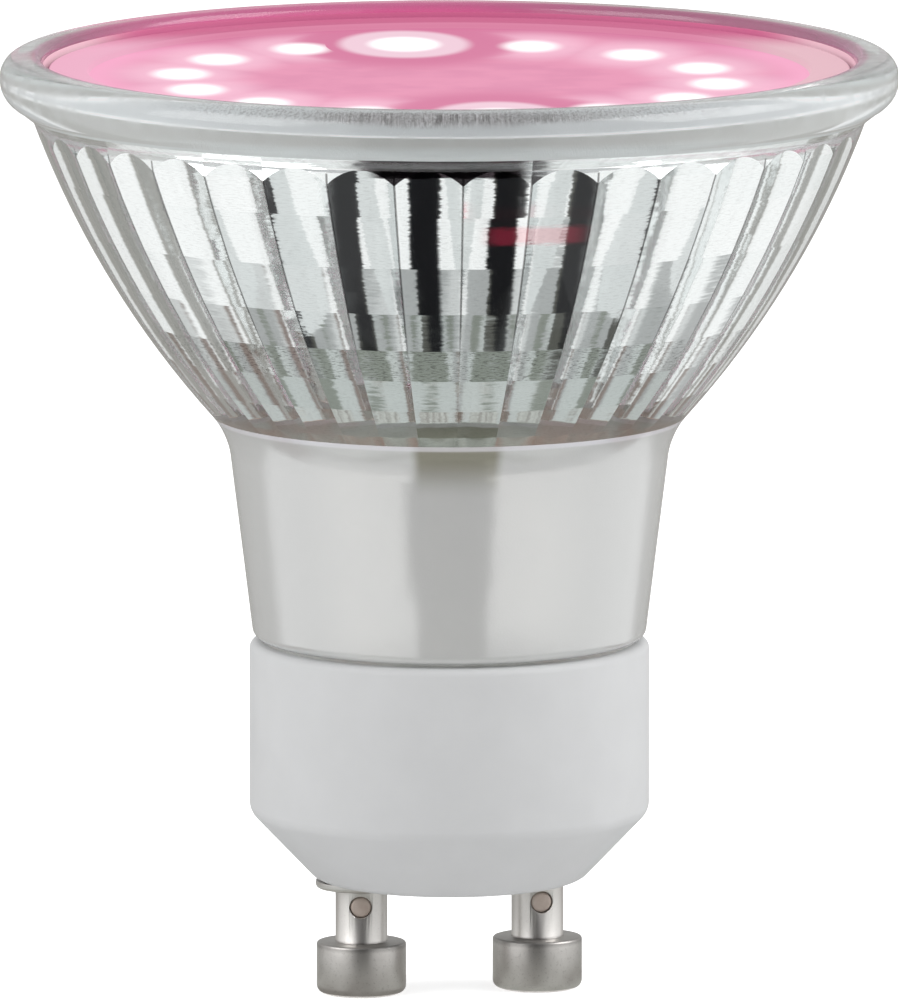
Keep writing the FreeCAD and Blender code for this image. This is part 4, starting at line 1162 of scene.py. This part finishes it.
finishes = {
    "silicone": plain_finish("milky_silicone", (0.74, 0.72, 0.7), (0.82, 0.8, 0.78), 0.4),
    "light_board": plain_finish("white_mask", (0.82, 0.82, 0.8), (0.9, 0.9, 0.88), 0.45),
    "spun_aluminium": plain_finish("spun_aluminium", (0.6, 0.61, 0.62), (0.76, 0.77, 0.78),
                                   0.35, 1.0),
    "white_plastic": plain_finish("housing_white", (0.76, 0.76, 0.74), (0.83, 0.83, 0.81),
                                  0.5),
    "circuit_board": plain_finish("board_green", (0.05, 0.2, 0.09), (0.09, 0.28, 0.13), 0.35),
    "capacitor_sleeve": plain_finish("sleeve_blue", (0.03, 0.05, 0.12), (0.06, 0.09, 0.18),
                                     0.3),
    "ferrite": plain_finish("ferrite_grey", (0.07, 0.07, 0.075), (0.13, 0.13, 0.135), 0.6),
    "tinned": plain_finish("tinned_wire", (0.3, 0.26, 0.22), (0.45, 0.41, 0.37), 0.45, 0.8),
    "copper": plain_finish("copper_wire", (0.6, 0.3, 0.17), (0.78, 0.45, 0.28), 0.28, 1.0),
    "resistor_coat": plain_finish("lacquer_blue", (0.2, 0.38, 0.48), (0.3, 0.5, 0.6), 0.3),
    "choke_coat": plain_finish("lacquer_green", (0.16, 0.32, 0.16), (0.25, 0.43, 0.24), 0.3),
    "film_capacitor": plain_finish("box_yellow", (0.62, 0.46, 0.06), (0.75, 0.6, 0.12), 0.4),
    "black_package": plain_finish("package_black", (0.02, 0.02, 0.022), (0.045, 0.045, 0.05),
                                  0.5),
    "red_insulation": plain_finish("wire_red", (0.45, 0.03, 0.03), (0.6, 0.06, 0.05), 0.35),
    "black_insulation": plain_finish("wire_black", (0.02, 0.02, 0.02), (0.04, 0.04, 0.04),
                                     0.35),
    "cement": plain_finish("white_cement", (0.6, 0.6, 0.58), (0.72, 0.72, 0.7), 0.8),
    "light_package": plain_finish("package_white", (0.85, 0.75, 0.8), (0.95, 0.88, 0.92), 0.4),
}
slots = {row["node"]: row["material_slot"] for row in frame["record"]["subparts"]}
for name, piece in nodes.items():
    finish = "tinned" if name.startswith("mains_wire") else slots[name]
    if finish in finishes:
        piece.data.materials.clear()
        piece.data.materials.append(finishes[finish])
print("finishes for inner pieces:", len(finishes))

# %% [markdown]
# ## Finishes on the pieces
# The glass piece carries five finishes. It could be five pieces, but it is one in real life.
# Its faces are told apart by where they are and by whether they look at the axis or away from
# it, and each group goes into its own material slot.

# %% Give each piece its finish
SATIN_EDGE = 32.8
SEAT_EDGE = 51.9


def assign(piece, index, wanted):
    """Puts the faces that pass the test into a material slot."""
    bpy.ops.object.select_all(action="DESELECT")
    piece.select_set(True)
    bpy.context.view_layer.objects.active = piece
    bpy.ops.object.mode_set(mode="EDIT")
    bpy.ops.mesh.select_mode(type="FACE")
    bpy.ops.mesh.select_all(action="DESELECT")
    mesh = bmesh.from_edit_mesh(piece.data)
    count = 0
    for face in mesh.faces:
        centre = face.calc_center_median() / MM
        outward = face.normal.x * centre.x + face.normal.y * centre.y
        if wanted(math.hypot(centre.x, centre.y), centre.z, outward > 0):
            face.select_set(True)
            count += 1
    bmesh.update_edit_mesh(piece.data)
    piece.active_material_index = index
    bpy.ops.object.material_slot_assign()
    bpy.ops.object.mode_set(mode="OBJECT")
    print(piece.name, "slot", index, "has", count, "faces")


for material in (clear_glass, mirror, satin, bonded, lining):
    glass.data.materials.append(material)
assign(glass, 1, lambda r, z, out: not out and r < THROAT + 0.1 and MIRROR_FOOT[1] < z < LEDGE)
assign(glass, 2, lambda r, z, out: z < SATIN_EDGE and out)
assign(glass, 4, lambda r, z, out: z < MIRROR_FOOT[1] and not out)
assign(glass, 3, lambda r, z, out: LEDGE + 0.01 < z < SEAT_EDGE and r < SEAT_RADIUS + 0.02)
assign(glass, 1, lambda r, z, out: abs(z - LEDGE) < 0.01 and r < SEAT_RADIUS)
cover.data.materials.append(pink)
base.data.materials.append(white)
for piece in pins.values():
    piece.data.materials.append(steel)
    piece.data.materials.append(solder)
    for face in piece.data.polygons[-plug_faces:]:
        face.material_index = 1

# %% [markdown]
# Each new piece now rides on a body, and the imported piece that it stands for is hidden and
# named in a printed line. The lamp is rigid, so all of them ride on the one body.

# %% Tie the new pieces to the lamp
for piece, node, slot in ((glass, "glass_reflector", "clear_glass"),
                          (cover, "front_cover", "pink_diffuser"),
                          (base, "base_cap", "base_plastic"),
                          (pins["pin_left"], "pin_left", "pin_metal"),
                          (pins["pin_right"], "pin_right", "pin_metal")):
    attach(piece, "root")
    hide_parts(node)
    print(piece.name, "stands for", node)

# %% [markdown]
# ## The studio
# The camera stands far off with a long lens, a little above the lamp, and the lamp is turned
# so that its left pin is slightly nearer. A near camera with a short lens could frame it as
# well, but the ellipses of rim and cover would be rounder than in the photograph.

# %% Camera
DISTANCE = 1400.0
ELEVATION = math.radians(8.45)
AIM = Vector((0.0, 0.0, 27.66))
LENS = 903.7
SHIFT = -0.0004

away = Vector((math.cos(FRONT) * math.cos(ELEVATION),
               math.sin(FRONT) * math.cos(ELEVATION), math.sin(ELEVATION)))
bpy.ops.object.camera_add(location=(AIM + away * DISTANCE) * MM)
camera = bpy.context.object
camera.data.sensor_width = 36.0
camera.data.lens = LENS
camera.rotation_mode = "QUATERNION"
camera.rotation_quaternion = (-away).to_track_quat("-Z", "Y")
camera.data.clip_start = 0.01
camera.data.clip_end = 100.0
camera.data.shift_x = SHIFT
bpy.context.scene.camera = camera
bpy.context.scene.view_settings.view_transform = "Standard"
print("camera at", [round(c, 3) for c in camera.location])

# %% [markdown]
# The floor is white where the camera sees it, and it still takes the lamp's soft shadow. More
# light would also make it white, and wash out the lamp. So the floor gets some emission that
# only camera, mirror and glass rays see.

# %% Floor
FLOOR_LIFT = 0.56
FLOOR_SIZE = 6000.0

bpy.ops.object.select_all(action="DESELECT")
bpy.ops.mesh.primitive_plane_add(size=FLOOR_SIZE * MM, location=(0, 0, 0))
floor = bpy.context.object
floor.name = "studio_floor"
paper, tree, shader = new_material("white_paper", Roughness=0.9, Specular_IOR_Level=0.0)
position, xyz = place(tree)
join(tree, blend(tree, noise(tree, position, 0.02, 2.0), (0.86, 0.86, 0.86),
                 (0.88, 0.88, 0.88)), shader.inputs["Base Color"])
path = add(tree, "LightPath")
mirrored = math_node(tree, "MAXIMUM", path.outputs["Is Glossy Ray"],
                     path.outputs["Is Transmission Ray"])
seen = math_node(tree, "MAXIMUM", path.outputs["Is Camera Ray"], mirrored)
glow = add(tree, "Emission")
join(tree, times(tree, seen, FLOOR_LIFT), glow.inputs["Strength"])
both = add(tree, "AddShader")
join(tree, shader.outputs[0], both.inputs[0])
join(tree, glow.outputs[0], both.inputs[1])
join(tree, both.outputs[0], tree.nodes["Material Output"].inputs["Surface"])
floor.data.materials.append(paper)
report(paper)

# %% [markdown]
# Mirrors show the room. A photographer lays cards round a lamp like this one, so that the
# facets have something to reflect. The same is done here, with pieces that only reflections
# see. Their materials are plain emission: a card then shows the grey that it is printed in,
# wherever the lamps stand.

# %% Helpers for the stage
def only_in_reflections(stage_piece):
    """Hides a piece from the camera and from soft light, and takes its shadow away."""
    stage_piece.visible_camera = False
    stage_piece.visible_diffuse = False
    stage_piece.visible_shadow = False
    stage_piece.visible_volume_scatter = False


def unlit_material(name):
    """A material that is emission alone: the material, its tree and its emission node."""
    material = bpy.data.materials.new(name)
    material.use_nodes = True
    tree = material.node_tree
    tree.nodes.remove(tree.nodes["Principled BSDF"])
    glow = add(tree, "Emission")
    join(tree, glow.outputs[0], tree.nodes["Material Output"].inputs["Surface"])
    return material, tree, glow


# %% [markdown]
# One large card lies on the floor. It is grey and mottled near the lamp, a painted shadow of
# the lamp on the floor, white farther out, grey behind, and black in a wedge towards the camera,
# in a close part and a far one. Separate cards would show their edges in every facet, so all of
# this is printed on one.

# %% Reflection card
CARD_RADIUS = 2500.0
CARD_HEIGHT = 0.12

bpy.ops.object.select_all(action="DESELECT")
bpy.ops.mesh.primitive_circle_add(vertices=96, radius=CARD_RADIUS * MM, fill_type="NGON",
                                  location=(0, 0, CARD_HEIGHT * MM))
card = bpy.context.object
card.name = "reflection_card"
bpy.ops.object.transform_apply(location=True)
only_in_reflections(card)
printed, tree, glow = unlit_material("printed_card")
position, xyz = place(tree)
reach = distance(tree, xyz[0], xyz[1])
front = along(tree, xyz, FRONT)
way = bearing(tree, xyz)
aside = math_node(tree, "ABSOLUTE", way)
skewed = math_node(tree, "ADD", aside, ease(tree, way, -0.3, 0.3, 0.12, -0.2))
print(card.name, "is", round(2 * CARD_RADIUS * MM, 1), "m across")

# %% [markdown]
# Each part of the print shows up as one row or one side of the mirror: near greys in the low
# rows, the white in the high ones, the wedges as the dark middle. Distance from the lamp sets
# the row, and the bearing sets the side.

# %% Print of the card
# painted shadow: the lamp's shadow on the floor, grey and mottled near the lamp
near = blend(tree, ease(tree, noise(tree, position, 0.22, 2.0), 0.4, 0.6),
             (0.33, 0.32, 0.3), (0.55, 0.56, 0.53))
olive = times(tree, band(tree, front, 19.2, 20.2, 25.5, 27.0), ease(tree, reach, 36.0, 34.0))
grey_side = times(tree, band(tree, way, 0.15, 0.35, 1.2, 1.5), ease(tree, reach, 34.0, 36.0))
brown = times(tree, ease(tree, skewed, 1.4, 1.7), band(tree, reach, 30.0, 36.0, 44.0, 50.0))
behind = times(tree, ease(tree, skewed, 1.95, 2.2), ease(tree, reach, 20.0, 40.0))
close_wedge = times(tree, band(tree, way, -0.33, -0.28, 0.32, 0.39),
                    ease(tree, front, 25.5, 29.0))
far_wedge = times(tree, ease(tree, aside, 0.44, 0.34), ease(tree, front, 61.5, 64.0))
print_colour = coats(tree, near,
                     (ease(tree, reach, 18.3, 19.3), (0.54, 0.57, 0.56)),
                     (ease(tree, reach, 30.5, 33.0), (0.4, 0.41, 0.41)),
                     (olive, (0.24, 0.26, 0.23)),
                     (ease(tree, reach, 36.0, 41.0), (0.66, 0.67, 0.67)),
                     (grey_side, (0.43, 0.44, 0.44)),
                     (brown, (0.24, 0.19, 0.17)),
                     (ease(tree, reach, 46.0, 51.0), (1.0, 1.0, 1.0)),
                     (behind, (0.36, 0.35, 0.33)),
                     (close_wedge, (0.09, 0.09, 0.08)),
                     (far_wedge, (0.012, 0.012, 0.01)))
join(tree, print_colour, glow.inputs["Color"])
card.data.materials.append(printed)
report(printed)

# %% [markdown]
# A small black flag is held in front of the lamp, level, a little above the base's shoulder.
# It widens away from the lamp and gives each front flute its dark middle. Its outline could be
# a mesh. A plane with a soft mask is used, because a flag so near has no sharp edge in the
# facets.

# %% Black flag
FLAG_HEIGHT = 20.0
FLAG_SIZE = 140.0

bpy.ops.object.select_all(action="DESELECT")
bpy.ops.mesh.primitive_plane_add(size=FLAG_SIZE * MM, location=(0, 0, FLAG_HEIGHT * MM))
flag = bpy.context.object
flag.name = "black_flag"
bpy.ops.object.transform_apply(location=True)
only_in_reflections(flag)
cloth, tree, black = unlit_material("black_cloth")
position, xyz = place(tree)
right = along(tree, xyz, RIGHT)
front = along(tree, xyz, FRONT)
past_left = math_node(tree, "ADD", math_node(tree, "MULTIPLY_ADD", front, 0.36, right),
                      ease(tree, front, 36.5, 39.5, 0.0, 3.0))
past_right = math_node(tree, "MULTIPLY_ADD", front, -1.22, right)
solid = times(tree, ease(tree, past_left, 0.2, 3.8), ease(tree, past_right, -25.6, -28.6),
              ease(tree, right, 13.2, 10.0), band(tree, front, 20.0, 22.5, 57.0, 60.0))
join(tree, blend(tree, noise(tree, position, 0.2, 2.0), (0.008, 0.008, 0.009),
                 (0.014, 0.014, 0.016)), black.inputs["Color"])
masked = add(tree, "MixShader")
join(tree, solid, masked.inputs[0])
join(tree, add(tree, "BsdfTransparent").outputs[0], masked.inputs[1])
join(tree, black.outputs[0], masked.inputs[2])
join(tree, masked.outputs[0], tree.nodes["Material Output"].inputs["Surface"])
flag.data.materials.append(cloth)
report(cloth)

# %% [markdown]
# Two short white strips hang above the flag. They keep it out of the outer flutes. Each is a
# plane whose two inner corners are moved sideways, so that its edge runs along a flute.

# %% White strips
STRIP_WIDTH, STRIP_DEPTH = 6.6, 16.2
STRIP_FRONT, STRIP_HEIGHT = 24.9, 36.0

bright, tree, glow = unlit_material("white_strip")
position, xyz = place(tree)
join(tree, blend(tree, noise(tree, position, 0.2, 2.0), (0.7, 0.72, 0.72), (0.76, 0.78, 0.78)),
     glow.inputs["Color"])


def white_strip(name, middle, near_shift, far_shift):
    """A level strip at one side; its two inner corners are moved sideways. In millimetres."""
    bpy.ops.object.select_all(action="DESELECT")
    bpy.ops.mesh.primitive_plane_add(size=1.0, location=(0, 0, 0))
    strip = bpy.context.object
    strip.name = name
    bpy.ops.object.mode_set(mode="EDIT")
    bpy.ops.mesh.select_mode(type="VERT")
    bpy.ops.transform.resize(value=(STRIP_WIDTH * MM, STRIP_DEPTH * MM, 1))
    bpy.ops.transform.translate(value=(middle * MM, -STRIP_FRONT * MM, STRIP_HEIGHT * MM))
    mesh = bmesh.from_edit_mesh(strip.data)
    for shift, near in ((near_shift, True), (far_shift, False)):
        bpy.ops.mesh.select_all(action="DESELECT")
        for corner in mesh.verts:
            inner = abs(corner.co.x) < abs(middle) * MM
            corner.select_set(inner and (corner.co.y > -20 * MM) == near)
        bmesh.update_edit_mesh(strip.data)
        bpy.ops.transform.translate(value=(shift * MM, 0, 0))
    bpy.ops.mesh.select_all(action="SELECT")
    bpy.ops.transform.rotate(value=TURN, orient_axis="Z", center_override=(0, 0, 0))
    bpy.ops.object.mode_set(mode="OBJECT")
    only_in_reflections(strip)
    strip.data.materials.append(bright)
    print(name, [[round(c / MM, 1) for c in v.co] for v in strip.data.vertices])


white_strip("white_strip_left", -11.5, 0.9, -1.0)
white_strip("white_strip_right", 13.4, -1.2, 1.0)

# %% [markdown]
# ## Light
# The room is a pale sky all round. A picture of a real studio could light it, but nodes are
# enough, and they need no file. Mirrors see a dome with a grey zenith, a grey back and a dark
# sector towards the camera. Soft light comes from a simpler sky, a little darker in front, and
# the camera itself sees white.

# %% Sky
world = bpy.data.worlds.new("studio_sky")
bpy.context.scene.world = world
world.use_nodes = True
tree = world.node_tree
split = add(tree, "SeparateXYZ")
join(tree, add(tree, "TexCoord").outputs["Generated"], split.inputs[0])
up = split.outputs[2]
aside = math_node(tree, "ABSOLUTE", bearing(tree, split.outputs))
narrowed = math_node(tree, "SUBTRACT", aside, ease(tree, up, 0.85, 0.95, 0.0, 0.4))
dome = coats(tree, (0.97, 0.97, 0.97),
             (ease(tree, up, 0.5, 0.95), (0.6, 0.61, 0.62)),
             (ease(tree, aside, 2.0, 2.4), (0.6, 0.6, 0.59)),
             (ease(tree, narrowed, 0.5, 0.38), (0.035, 0.03, 0.033)))
soft = blend(tree, ease(tree, aside, 1.3, 0.3), (0.66, 0.66, 0.66), (0.3, 0.3, 0.3))
path = add(tree, "LightPath")
mirrored = math_node(tree, "MAXIMUM", path.outputs["Is Glossy Ray"],
                     path.outputs["Is Transmission Ray"])
sky = coats(tree, soft, (mirrored, dome), (path.outputs["Is Camera Ray"], (1.0, 1.0, 1.0)))
background = tree.nodes["Background"]
join(tree, sky, background.inputs["Color"])
background.inputs["Strength"].default_value = 1.0
print("the sky has", len(tree.nodes), "nodes")

# %% [markdown]
# A broad lamp stands high on each side in front. Large area lamps give soft edges to light and
# shadow, which a point lamp can't. Light runs to and fro inside pressed glass many times
# before it leaves, so the bounce limits are raised, or the mirror would have black stripes.

# %% Lamps and bounce limits
SOFTBOX_DISTANCE = 0.6
SOFTBOX_SIZE = 0.45


def softbox(name, azimuth, elevation, power):
    """A square area lamp that looks at the bulb from a direction; angles in degrees."""
    a, e = math.radians(azimuth), math.radians(elevation)
    way = Vector((math.sin(a) * math.cos(e), -math.cos(a) * math.cos(e), math.sin(e)))
    bpy.ops.object.light_add(type="AREA", location=way * SOFTBOX_DISTANCE)
    light = bpy.context.object
    light.name = name
    light.data.size = SOFTBOX_SIZE
    light.data.energy = power
    light.rotation_mode = "QUATERNION"
    light.rotation_quaternion = (-way).to_track_quat("-Z", "Y")
    print(name, "at", [round(c, 2) for c in light.location])


paths = bpy.context.scene.cycles
paths.max_bounces = 24
paths.glossy_bounces = 20
paths.transmission_bounces = 20
softbox("softbox_left", -72.0, 35.0, 1.75)
softbox("softbox_right", 68.0, 38.0, 2.15)
